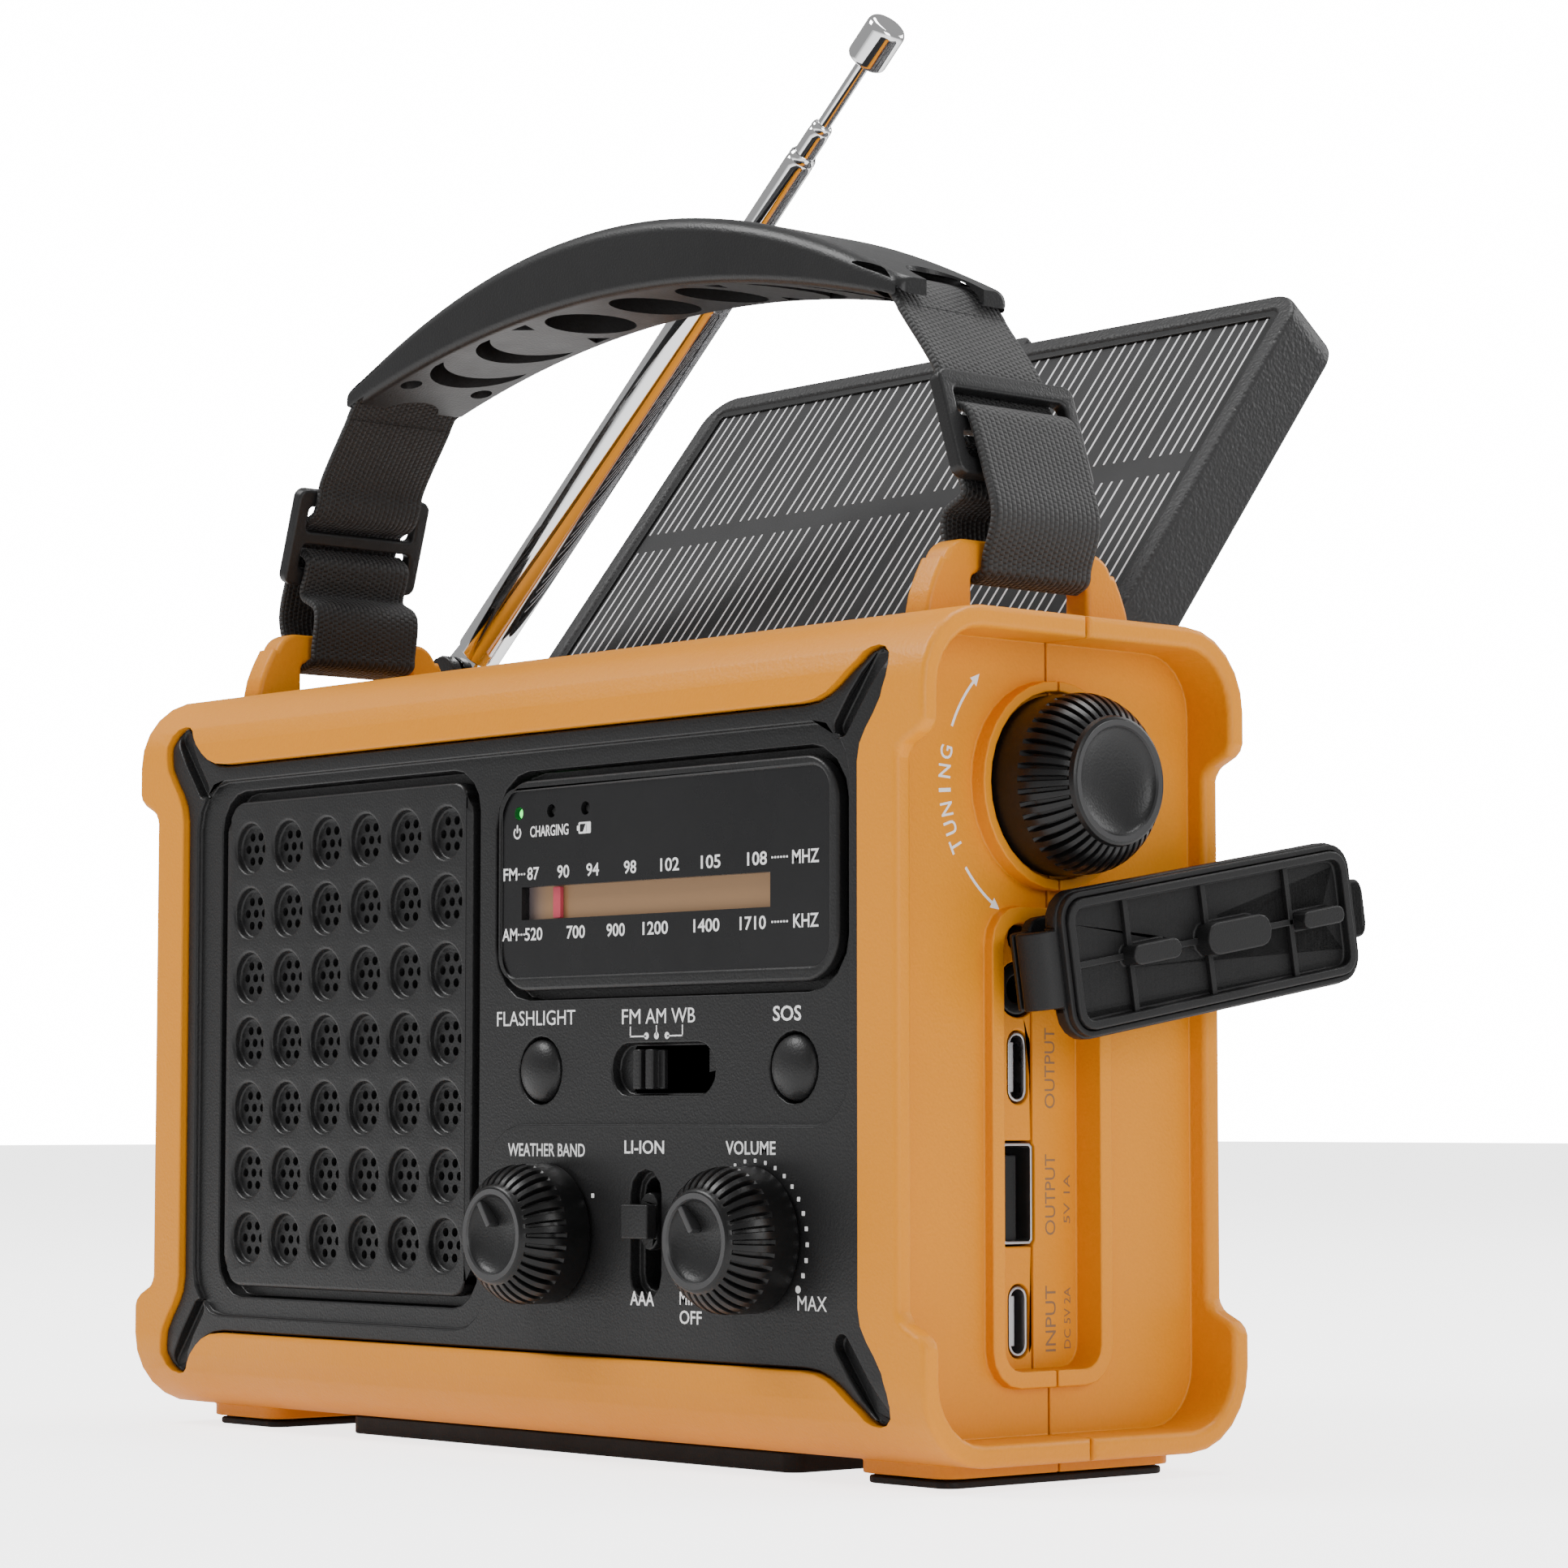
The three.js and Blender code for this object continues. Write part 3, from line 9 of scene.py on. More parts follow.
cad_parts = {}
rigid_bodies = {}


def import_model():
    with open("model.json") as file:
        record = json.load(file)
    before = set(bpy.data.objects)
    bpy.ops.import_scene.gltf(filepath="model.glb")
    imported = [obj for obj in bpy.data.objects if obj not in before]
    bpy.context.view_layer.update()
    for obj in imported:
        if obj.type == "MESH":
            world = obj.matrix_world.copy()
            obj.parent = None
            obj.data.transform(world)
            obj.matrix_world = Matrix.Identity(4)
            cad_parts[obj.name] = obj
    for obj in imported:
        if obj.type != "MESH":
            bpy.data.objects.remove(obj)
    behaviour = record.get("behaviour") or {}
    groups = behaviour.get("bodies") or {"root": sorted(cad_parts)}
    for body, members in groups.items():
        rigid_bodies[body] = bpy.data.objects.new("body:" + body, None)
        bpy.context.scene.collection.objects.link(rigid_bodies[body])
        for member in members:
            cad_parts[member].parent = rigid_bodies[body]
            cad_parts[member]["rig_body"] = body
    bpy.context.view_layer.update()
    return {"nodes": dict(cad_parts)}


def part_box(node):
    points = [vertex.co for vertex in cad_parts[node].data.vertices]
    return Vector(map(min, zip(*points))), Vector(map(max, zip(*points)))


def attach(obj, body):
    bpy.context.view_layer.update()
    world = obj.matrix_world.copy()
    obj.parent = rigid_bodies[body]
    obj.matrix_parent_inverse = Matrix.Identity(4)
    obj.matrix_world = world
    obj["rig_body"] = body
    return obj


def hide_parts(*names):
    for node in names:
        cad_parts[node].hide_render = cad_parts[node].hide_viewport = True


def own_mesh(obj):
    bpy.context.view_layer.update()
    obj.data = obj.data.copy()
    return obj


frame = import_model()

# Portable radio. Shapes are drawn in millimetres in the frame of the case: +X to the right of
# someone facing the dial, the front faces -Y, +Z up, the feet stand on Z = 0.
MM = 0.001
WELD = 1e-7  # metres: points nearer than this are one point

# ---------------------------------------------------------------- sizes taken from the solids


def span(node):
    low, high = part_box(node)
    return [v / MM for v in low], [v / MM for v in high]


CASE_TOP = span("rear_shell")[1][2]
CASE_DEPTH = span("rear_shell")[1][1]
RIM_X = 84.0
SIDE_X = 81.0
PANEL_Y = span("front_panel")[0][1]
FIELD_Y = PANEL_Y + 0.9
DIAL_LOW, DIAL_HIGH = span("dial_lens")
GRILLE_LOW, GRILLE_HIGH = span("speaker_grille")
HANDLE_Y = 0.5

# ---------------------------------------------------------------- outlines


def arc(cx, cy, r, a0, a1, steps=10):
    turns = [math.radians(a0 + (a1 - a0) * i / steps) for i in range(steps + 1)]
    return [(cx + r * math.cos(a), cy + r * math.sin(a)) for a in turns]


def rounded(x0, x1, y0, y1, r, steps=8):
    return (
        arc(x1 - r, y1 - r, r, 0, 90, steps)
        + arc(x0 + r, y1 - r, r, 90, 180, steps)
        + arc(x0 + r, y0 + r, r, 180, 270, steps)
        + arc(x1 - r, y0 + r, r, 270, 360, steps)
    )


def box_outline(x0, x1, y0, y1):
    return [(x0, y0), (x1, y0), (x1, y1), (x0, y1)]


def circle(cx, cy, r, steps=32):
    return arc(cx, cy, r, 0, 360, steps)[:-1]


def area_of(points):
    pairs = zip(points, points[1:] + points[:1])
    return sum(a[0] * b[1] - b[0] * a[1] for a, b in pairs) / 2


def turning_left(points):
    return points if area_of(points) > 0 else points[::-1]


def without_repeats(points):
    kept = []
    for p in points:
        if not kept or math.dist(p, kept[-1]) > 1e-4:
            kept.append(p)
    if math.dist(kept[0], kept[-1]) < 1e-4:
        kept.pop()
    return kept


def grown(points, d):
    """Every side of a closed, left-turning outline moved outwards by d."""
    result = []
    for i, p in enumerate(points):
        a, b = points[i - 1], points[(i + 1) % len(points)]
        u = Vector((p[1] - a[1], a[0] - p[0])).normalized()
        v = Vector((b[1] - p[1], p[0] - b[0])).normalized()
        k = d / max(0.4, 1 + u.dot(v))
        result.append((p[0] + (u.x + v.x) * k, p[1] + (u.y + v.y) * k))
    return result


def smooth_path(points, steps):
    """A Catmull-Rom curve through the points."""
    ends = [points[0]] + points + [points[-1]]
    path = []
    for a, b, c, d in zip(ends, ends[1:], ends[2:], ends[3:]):
        for i in range(steps):
            t = i / steps
            path.append(tuple(
                0.5 * (2 * q + (r - p) * t + (2 * p - 5 * q + 4 * r - s) * t * t
                       + (3 * q - p - 3 * r + s) * t ** 3)
                for p, q, r, s in zip(a, b, c, d)
            ))
    return path + [points[-1]]


def eased(points, r, steps=4):
    """An open profile with its inner corners rounded."""
    result = [points[0]]
    for a, b, c in zip(points, points[1:], points[2:]):
        before, after = Vector(a) - Vector(b), Vector(c) - Vector(b)
        reach = min(r, before.length * 0.45, after.length * 0.45)
        p, q = Vector(b) + before.normalized() * reach, Vector(b) + after.normalized() * reach
        for i in range(steps + 1):
            t = i / steps
            result.append(tuple(p * (1 - t) ** 2 + 2 * Vector(b) * t * (1 - t) + q * t * t))
    return result + [points[-1]]


# ---------------------------------------------------------------- solids as (vertices, faces)

AXES = {
    "X": Matrix(((0, 0, 1), (1, 0, 0), (0, 1, 0))).to_4x4(),
    "Y": Matrix(((1, 0, 0), (0, 0, -1), (0, 1, 0))).to_4x4(),
    "Z": Matrix.Identity(4),
}


def placed(shape, matrix):
    return [tuple(matrix @ Vector(v)) for v in shape[0]], shape[1]


def combined(*shapes):
    verts, faces = [], []
    for more, sides in shapes:
        start = len(verts)
        verts += more
        faces += [[start + i for i in face] for face in sides]
    return verts, faces


def slab(outline, low, high, edge=0.0, holes=(), rows=3):
    """An outline with holes pushed from low to high along local Z, its edges rounded."""
    loops = [(turning_left(without_repeats(outline)), 1)]
    loops += [(turning_left(without_repeats(h)), -1) for h in holes]
    levels = []
    for k in range(rows + 1 if edge else 1):
        a = math.pi / 2 * k / rows
        levels.append((edge * (1 - math.sin(a)), low + edge * (1 - math.cos(a))))
    levels += [(d, low + high - z) for d, z in reversed(levels)]
    verts, faces, starts = [], [], []
    for points, sign in loops:
        n = len(points)
        starts.append((len(verts), n))
        for d, z in levels:
            verts += [(x, y, z) for x, y in (grown(points, -sign * d) if d else points)]
        for k in range(len(levels) - 1):
            for i in range(n):
                a, b = starts[-1][0] + k * n + i, starts[-1][0] + k * n + (i + 1) % n
                side = [a, b, b + n, a + n]
                faces.append(side if sign > 0 else side[::-1])
    for level, up in ((0, False), (len(levels) - 1, True)):
        index = [s + level * n + i for s, n in starts for i in range(n)]
        rings = [[Vector(verts[s + level * n + i]) for i in range(n)] for s, n in starts]
        for tri in tessellate_polygon(rings):
            a, b, c = (index[i] for i in tri)
            p, q, r = (Vector(verts[i]) for i in (a, b, c))
            faces.append([a, b, c] if ((q - p).cross(r - p).z > 0) == up else [a, c, b])
    return verts, faces


def along(axis, outline, low, high, edge=0.0, holes=(), rows=3):
    """(Y, Z) outlines run along X, (X, Z) outlines along Y and (X, Y) outlines along Z."""
    if axis == "Y":
        low, high = -high, -low
    return placed(slab(outline, low, high, edge, holes, rows), AXES[axis])


def turned(axis, profile, centre, segments=64):
    """A profile of (radius, distance along the axis) turned about it."""
    verts, faces, rings = [], [], []
    for r, h in profile:
        if r < 1e-6:
            rings.append([len(verts)] * segments)
            verts.append((0, 0, h))
            continue
        rings.append([len(verts) + i for i in range(segments)])
        verts += [(x, y, h) for x, y in circle(0, 0, r, segments)]
    for low, high in zip(rings, rings[1:]):
        for i in range(segments):
            j = (i + 1) % segments
            side = [low[i], low[j], high[j], high[i]]
            side = [v for k, v in enumerate(side) if v != side[k - 1]]
            if len(side) > 2:
                faces.append(side)
    turn = {"X": AXES["X"], "Y": AXES["Y"] @ Matrix.Scale(-1, 4, (0, 0, 1)), "Z": AXES["Z"]}[axis]
    return placed((verts, faces), Matrix.Translation(centre) @ turn)


def bar(points, section, closed=False):
    """A section of (across, out) carried along a path of (place, across, out) frames."""
    n = len(section)
    verts, faces = [], []
    for place, across, out in points:
        verts += [tuple(Vector(place) + Vector(across) * a + Vector(out) * b) for a, b in section]
    count = len(points)
    for k in range(count if closed else count - 1):
        for i in range(n):
            a, b = k * n + i, k * n + (i + 1) % n
            c, d = (k + 1) % count * n + (i + 1) % n, (k + 1) % count * n + i
            faces.append([a, b, c, d])
    if not closed:
        faces.append(list(range(n))[::-1])
        faces.append([(count - 1) * n + i for i in range(n)])
    return verts, faces


# ---------------------------------------------------------------- node groups for the finishes


def shader_group(name, inputs, outputs):
    tree = bpy.data.node_groups.new(name, "ShaderNodeTree")
    for label, kind, value in inputs:
        socket = tree.interface.new_socket(name=label, in_out="INPUT", socket_type=kind)
        if value is not None:
            socket.default_value = value
    for label, kind in outputs:
        tree.interface.new_socket(name=label, in_out="OUTPUT", socket_type=kind)
    return tree, tree.nodes.new("NodeGroupInput"), tree.nodes.new("NodeGroupOutput")


def node(tree, kind, **settings):
    made = tree.nodes.new(kind)
    for key, value in settings.items():
        setattr(made, key, value)
    return made


def math_node(tree, operation, a, b=None, c=None):
    made = node(tree, "ShaderNodeMath", operation=operation)
    for i, value in enumerate((a, b, c)):
        if value is None:
            continue
        if hasattr(value, "links"):
            tree.links.new(value, made.inputs[i])
        else:
            made.inputs[i].default_value = value
    return made.outputs[0]


def grain_group():
    """The fine pebbled texture of a moulding tool: a normal, and a slight change of tone."""
    tree, start, end = shader_group(
        "moulded grain",
        [("Place", "NodeSocketVector", None), ("Grain Per Metre", "NodeSocketFloat", 2600.0),
         ("Depth", "NodeSocketFloat", 0.00003), ("Strength", "NodeSocketFloat", 0.5)],
        [("Normal", "NodeSocketVector"), ("Tone", "NodeSocketFloat")],
    )
    noise = node(tree, "ShaderNodeTexNoise")
    noise.inputs["Detail"].default_value = 2.0
    noise.inputs["Roughness"].default_value = 0.55
    cells = node(tree, "ShaderNodeTexVoronoi", feature="SMOOTH_F1")
    cells.inputs["Smoothness"].default_value = 0.7
    for texture in (noise, cells):
        tree.links.new(start.outputs["Place"], texture.inputs["Vector"])
        tree.links.new(start.outputs["Grain Per Metre"], texture.inputs["Scale"])
    height = math_node(tree, "ADD", noise.outputs[0], cells.outputs["Distance"])
    bump = node(tree, "ShaderNodeBump")
    tree.links.new(start.outputs["Depth"], bump.inputs["Distance"])
    tree.links.new(start.outputs["Strength"], bump.inputs["Strength"])
    tree.links.new(height, bump.inputs["Height"])
    tree.links.new(bump.outputs["Normal"], end.inputs["Normal"])
    tree.links.new(noise.outputs[0], end.inputs["Tone"])
    return tree


def handling_group():
    """Soft patches where hands have polished or dulled a surface, as a roughness."""
    tree, start, end = shader_group(
        "handling",
        [("Place", "NodeSocketVector", None), ("Least", "NodeSocketFloat", 0.4),
         ("Most", "NodeSocketFloat", 0.55)],
        [("Roughness", "NodeSocketFloat")],
    )
    wide = node(tree, "ShaderNodeTexNoise")
    wide.inputs["Scale"].default_value = 26.0
    wide.inputs["Detail"].default_value = 5.0
    fine = node(tree, "ShaderNodeTexNoise")
    fine.inputs["Scale"].default_value = 240.0
    fine.inputs["Detail"].default_value = 3.0
    for texture in (wide, fine):
        tree.links.new(start.outputs["Place"], texture.inputs["Vector"])
    blend = math_node(tree, "MULTIPLY_ADD", fine.outputs[0], 0.35, wide.outputs[0])
    spread = node(tree, "ShaderNodeMapRange")
    spread.inputs["From Min"].default_value = 0.45
    spread.inputs["From Max"].default_value = 0.9
    tree.links.new(blend, spread.inputs["Value"])
    level = node(tree, "ShaderNodeMix", data_type="FLOAT")
    tree.links.new(spread.outputs[0], level.inputs[0])
    tree.links.new(start.outputs["Least"], level.inputs[2])
    tree.links.new(start.outputs["Most"], level.inputs[3])
    tree.links.new(level.outputs[0], end.inputs["Roughness"])
    return tree


def weave_group():
    """Webbing: rows of crossing yarns from a map of metres across and along the band, and a mask that
    paints highlight on the yarn crowns and shade in the hollows.
    """
    tree, start, end = shader_group(
        "webbing weave",
        [("Map", "NodeSocketVector", None), ("Yarns Per Metre", "NodeSocketFloat", 1150.0),
         ("Depth", "NodeSocketFloat", 0.0002)],
        [("Normal", "NodeSocketVector"), ("Painted Crown Light", "NodeSocketFloat")],
    )
    parts = node(tree, "ShaderNodeSeparateXYZ")
    tree.links.new(start.outputs["Map"], parts.inputs[0])
    across = math_node(tree, "MULTIPLY", parts.outputs[0], start.outputs["Yarns Per Metre"])
    down = math_node(tree, "MULTIPLY", parts.outputs[1], start.outputs["Yarns Per Metre"])
    rows = math_node(tree, "MULTIPLY", down, 1.15)
    shift = math_node(tree, "MULTIPLY", math_node(tree, "FLOOR", across), 0.5)

    def humps(value):
        wave = math_node(tree, "SINE", math_node(tree, "MULTIPLY", value, math.pi))
        return math_node(tree, "ABSOLUTE", wave)

    ribs = humps(across)
    beads = humps(math_node(tree, "ADD", rows, shift))
    height = math_node(tree, "MULTIPLY", math_node(tree, "POWER", ribs, 0.6),
                       math_node(tree, "MULTIPLY_ADD", math_node(tree, "POWER", beads, 0.7), 0.75, 0.25))
    bump = node(tree, "ShaderNodeBump")
    bump.inputs["Strength"].default_value = 1.0
    tree.links.new(start.outputs["Depth"], bump.inputs["Distance"])
    tree.links.new(height, bump.inputs["Height"])
    tree.links.new(bump.outputs["Normal"], end.inputs["Normal"])
    # A colour mask from the yarn height: painted highlight on the crowns, painted shade in the hollows.
    tree.links.new(math_node(tree, "POWER", height, 3.0), end.inputs["Painted Crown Light"])
    return tree


GRAIN = grain_group()
HANDLING = handling_group()
WEAVE = weave_group()


class Finish:
    """A material under construction, its nodes reached by short calls."""

    def __init__(self, name, colour, roughness, metallic=0.0):
        self.material = bpy.data.materials.new(name)
        self.material.use_nodes = True
        self.tree = self.material.node_tree
        self.shader = self.tree.nodes["Principled BSDF"]
        self.set(Base_Color=(*colour, 1), Roughness=roughness, Metallic=metallic)
        self.coordinates = node(self.tree, "ShaderNodeTexCoord")
        self.place = self.coordinates.outputs["Object"]

    def group(self, tree, **values):
        made = node(self.tree, "ShaderNodeGroup", node_tree=tree)
        for key, value in values.items():
            made.inputs[key.replace("_", " ")].default_value = value
        self.tree.links.new(self.place, made.inputs[0])
        return made

    def to(self, output, socket):
        self.tree.links.new(output, self.shader.inputs[socket])

    def set(self, **values):
        for key, value in values.items():
            self.shader.inputs[key.replace("_", " ")].default_value = value

    def worn(self, least, most):
        """Roughness between least and most, in soft patches."""
        patches = self.group(HANDLING, Least=least, Most=most)
        self.to(patches.outputs["Roughness"], "Roughness")

    def mix(self, mask, first, second):
        made = node(self.tree, "ShaderNodeMix", data_type="RGBA")
        self.tree.links.new(mask, made.inputs[0])
        made.inputs[6].default_value = (*first, 1)
        made.inputs[7].default_value = (*second, 1)
        return made.outputs[2]


def moulded(name, colour, deeper, least, most, grain, depth, strength):
    finish = Finish(name, colour, most)
    texture = finish.group(GRAIN, Grain_Per_Metre=grain, Depth=depth, Strength=strength)
    finish.worn(least, most)
    finish.to(texture.outputs["Normal"], "Normal")
    finish.to(finish.mix(texture.outputs["Tone"], deeper, colour), "Base Color")
    finish.set(Specular_IOR_Level=0.3)
    return finish


def orange_plastic():
    finish = moulded("orange_plastic", (0.70, 0.250, 0.001), (0.64, 0.222, 0.001), 0.40, 0.52,
                     2300.0, 0.00005, 0.55)
    finish.set(Subsurface_Weight=0.06, Subsurface_Radius=(0.0012, 0.0006, 0.0003))
    return finish.material


def solar_cell():
    finish = Finish("solar_cell", (0.008, 0.008, 0.009), 0.5)
    wafers = node(finish.tree, "ShaderNodeTexVoronoi")
    wafers.inputs["Scale"].default_value = 160.0
    finish.tree.links.new(finish.place, wafers.inputs["Vector"])
    tint = finish.mix(wafers.outputs["Distance"], (0.0070, 0.0070, 0.0076), (0.0115, 0.0115, 0.0125))
    finish.to(tint, "Base Color")
    finish.set(Specular_IOR_Level=0.3)
    return finish.material


def scale_card():
    """An amber strip lit from behind, greyer at its low end."""
    finish = Finish("scale_card", (0.26, 0.15, 0.07), 0.35)
    parts = node(finish.tree, "ShaderNodeSeparateXYZ")
    finish.tree.links.new(finish.place, parts.inputs[0])
    fade = node(finish.tree, "ShaderNodeMapRange", interpolation_type="SMOOTHSTEP")
    fade.inputs["From Min"].default_value = 0.0052
    fade.inputs["From Max"].default_value = 0.0105
    finish.tree.links.new(parts.outputs[0], fade.inputs["Value"])
    colour = finish.mix(fade.outputs[0], (0.10, 0.085, 0.09), (0.25, 0.142, 0.066))
    finish.to(colour, "Base Color")
    finish.to(colour, "Emission Color")
    finish.set(Emission_Strength=0.18, Coat_Weight=0.25)
    return finish.material


def pointer_red():
    finish = Finish("pointer_red", (0.42, 0.045, 0.07), 0.3)
    finish.worn(0.25, 0.4)
    # The emission is a painted glow on the red pointer, which has no lamp of its own.
    finish.set(Emission_Color=(0.50, 0.06, 0.09, 1), Emission_Strength=0.12)
    return finish.material


def webbing():
    finish = Finish("webbing", (0.005, 0.005, 0.0052), 0.62)
    finish.place = finish.coordinates.outputs["UV"]
    weave = finish.group(WEAVE)
    finish.to(weave.outputs["Normal"], "Normal")
    # Painted light: the yarn crowns are painted lighter and the hollows between yarns darker.
    yarn_painted_light = finish.mix(weave.outputs["Painted Crown Light"], (0.0012, 0.0012, 0.0012), (0.0105, 0.0105, 0.0110))
    finish.to(yarn_painted_light, "Base Color")
    finish.set(Sheen_Weight=0.08, Sheen_Roughness=0.4)
    return finish.material


def clear_lens():
    finish = Finish("clear_lens", (0.95, 0.97, 1.0), 0.05)
    finish.worn(0.03, 0.10)
    finish.set(Transmission_Weight=0.95, IOR=1.49)
    return finish.material


def plain(name, colour, least, most, metallic=0.0):
    finish = Finish(name, colour, most, metallic)
    finish.worn(least, most)
    return finish.material


def bright_metal(name, colour, least, most):
    return plain(name, colour, least, most, 1.0)


def glowing(name, colour, strength):
    finish = Finish(name, colour, 0.25)
    finish.worn(0.2, 0.3)
    finish.set(Emission_Color=(*colour, 1), Emission_Strength=strength)
    return finish.material


# colour, deeper colour, least and most roughness, grains per metre, their depth and strength
MOULDED = {
    "charcoal_plastic": ((0.0135, 0.0135, 0.0139), (0.0100, 0.0100, 0.0104),
                         0.34, 0.44, 3000.0, 0.00004, 0.6),
    "black_plastic": ((0.0050, 0.0050, 0.0052), (0.0032, 0.0032, 0.0034),
                      0.28, 0.40, 3600.0, 0.00002, 0.35),
    "black_rubber": ((0.0075, 0.0075, 0.0078), (0.0050, 0.0050, 0.0052),
                     0.48, 0.62, 4200.0, 0.00003, 0.5),
    "dial_window": ((0.0105, 0.0105, 0.0112), (0.0090, 0.0090, 0.0096),
                    0.24, 0.32, 5200.0, 0.00001, 0.2),
    "solar_frame": ((0.020, 0.020, 0.0205), (0.013, 0.013, 0.0135),
                    0.44, 0.58, 1700.0, 0.00012, 0.8),
}
LOOK = {name: moulded(name, *values).material for name, values in MOULDED.items()}
LOOK |= {
    "orange_plastic": orange_plastic(),
    "scale_card": scale_card(),
    "pointer_red": pointer_red(),
    "webbing": webbing(),
    "chrome_tube": bright_metal("chrome_tube", (0.82, 0.82, 0.83), 0.04, 0.08),
    "steel": bright_metal("steel", (0.46, 0.46, 0.47), 0.24, 0.38),
    "solar_cell": solar_cell(),
    "clear_lens": clear_lens(),
    "reflector": bright_metal("reflector", (0.88, 0.88, 0.9), 0.03, 0.07),
    "circuit_board": plain("circuit_board", (0.02, 0.16, 0.07), 0.3, 0.5),
    "battery_wrap": plain("battery_wrap", (0.05, 0.17, 0.42), 0.25, 0.4),
    "white_print": plain("white_print", (0.82, 0.82, 0.82), 0.35, 0.5),
    # Darker orange for the port names: painted shade standing for engraved letters.
    "engraved_painted_shade": plain("engraved_painted_shade", (0.20, 0.115, 0.055), 0.5, 0.65),
    "grid_lines": plain("grid_lines", (0.74, 0.74, 0.76), 0.3, 0.4),
    # A lighter grey: painted highlight on the knob rims, and the colour of the knob marks.
    "rim_highlight_and_mark_grey": plain("rim_highlight_and_mark_grey", (0.030, 0.030, 0.031), 0.35, 0.45),
    "power_light": glowing("power_light", (0.05, 0.9, 0.12), 2.5),
}

# ---------------------------------------------------------------- making pieces


class Edited:
    """A mesh opened for editing, and written back when the with block ends."""

    def __init__(self, mesh):
        self.mesh = mesh

    def __enter__(self):
        self.bm = bmesh.new()
        self.bm.from_mesh(self.mesh)
        return self.bm

    def __exit__(self, *_):
        self.bm.to_mesh(self.mesh)
        self.bm.free()


def in_metres(name, shape):
    mesh = bpy.data.meshes.new(name)
    mesh.from_pydata([tuple(c * MM for c in v) for v in shape[0]], [], shape[1])
    return mesh


def facing_out(mesh):
    with Edited(mesh) as bm:
        bmesh.ops.recalc_face_normals(bm, faces=bm.faces)


def mesh_of(name, shape):
    mesh = in_metres(name, shape)
    with Edited(mesh) as bm:
        bmesh.ops.remove_doubles(bm, verts=bm.verts, dist=WELD)
        bmesh.ops.recalc_face_normals(bm, faces=bm.faces)
    return mesh


def evaluated(obj):
    """What an object's modifiers make of it, as a mesh."""
    seen = bpy.context.evaluated_depsgraph_get()
    seen.update()
    return bpy.data.meshes.new_from_object(obj.evaluated_get(seen))


def shaded(obj, crease=32):
    """Smooth shading that stays crisp at corners sharper than crease, and flat on flat faces."""
    for face in obj.data.polygons:
        face.use_smooth = True
    obj.data.set_sharp_from_angle(angle=math.radians(crease))
    weigh = obj.modifiers.new("even normals", "WEIGHTED_NORMAL")
    weigh.keep_sharp = True
    weigh.weight = 60
    mesh = evaluated(obj)
    old = obj.data
    obj.modifiers.clear()
    obj.data = mesh
    bpy.data.meshes.remove(old)


def piece(name, shape, look, body, nodes=(), crease=32):
    mesh = shape if isinstance(shape, bpy.types.Mesh) else mesh_of(name, shape)
    obj = bpy.data.objects.new(name, mesh)
    bpy.context.scene.collection.objects.link(obj)
    obj.data.materials.clear()
    obj.data.materials.append(LOOK[look])
    shaded(obj, crease)
    return settled(obj, body, nodes)


def settled(obj, body, nodes=()):
    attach(obj, body)
    if nodes:
        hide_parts(*nodes)
    return obj


def body_of(name):
    return frame["nodes"][name]["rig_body"]


def merged_copy(name, flat=0.7):
    """A copy of a solid's mesh in one piece, its flat areas joined into single faces."""
    source = frame["nodes"][name]
    bm = bmesh.new()
    bm.from_mesh(source.data)
    bmesh.ops.transform(bm, matrix=source.matrix_world, verts=bm.verts)
    bmesh.ops.remove_doubles(bm, verts=bm.verts, dist=2e-6)
    bmesh.ops.dissolve_degenerate(bm, edges=bm.edges, dist=2e-6)
    bmesh.ops.dissolve_limit(bm, angle_limit=math.radians(flat), verts=bm.verts, edges=bm.edges)
    return bm


def round_edges(bm, edges, width, steps):
    bmesh.ops.bevel(
        bm, geom=edges, offset=width * MM, offset_type="OFFSET", segments=steps,
        profile=0.5, affect="EDGES", clamp_overlap=False, loop_slide=True,
    )


def is_sharp(edge, angle):
    return edge.is_manifold and edge.calc_face_angle(0) > math.radians(angle)


def rounded_copy(name, width, chosen=None, steps=2, angle=30, cutters=()):
    """A solid's own shape with its sharp edges rounded to width."""
    bm = merged_copy(name)
    mesh = bpy.data.meshes.new(name + "_shape")
    bm.to_mesh(mesh)
    bm.free()
    if cutters:
        mesh = cut_from(mesh, cutters)
    with Edited(mesh) as bm:
        edges = [e for e in bm.edges if is_sharp(e, angle) and (chosen is None or chosen(e))]
        if edges and width:
            round_edges(bm, edges, width, steps)
    return mesh


def cut_from(mesh, cutters):
    """The mesh less the cutting shapes."""
    work = bpy.data.objects.new("work", mesh)
    tool = bpy.data.objects.new("tool", mesh_of("tool", combined(*cutters)))
    for obj in (work, tool):
        bpy.context.scene.collection.objects.link(obj)
    trim = work.modifiers.new("trim", "BOOLEAN")
    trim.operation = "DIFFERENCE"
    trim.solver = "EXACT"
    trim.use_self = True
    trim.object = tool
    result = evaluated(work)
    bpy.data.objects.remove(work)
    bpy.data.objects.remove(tool)
    result.materials.clear()
    return result


def from_solid(name, width, look, crease=32, **choices):
    """Stands in for one solid with its rounded copy."""
    mesh = rounded_copy(name, width, **choices)
    return piece(name + "_skin", mesh, look, body_of(name), [name], crease)


# ---------------------------------------------------------------- geometry node makers


def geometry_tree(name, inputs):
    tree = bpy.data.node_groups.new(name, "GeometryNodeTree")
    tree.is_modifier = True
    tree.interface.new_socket(name="Unit", in_out="INPUT", socket_type="NodeSocketGeometry")
    for label, kind, value in inputs:
        socket = tree.interface.new_socket(name=label, in_out="INPUT", socket_type=kind)
        if value is not None:
            socket.default_value = value
    tree.interface.new_socket(name="Geometry", in_out="OUTPUT", socket_type="NodeSocketGeometry")
    return tree, tree.nodes.new("NodeGroupInput"), tree.nodes.new("NodeGroupOutput")


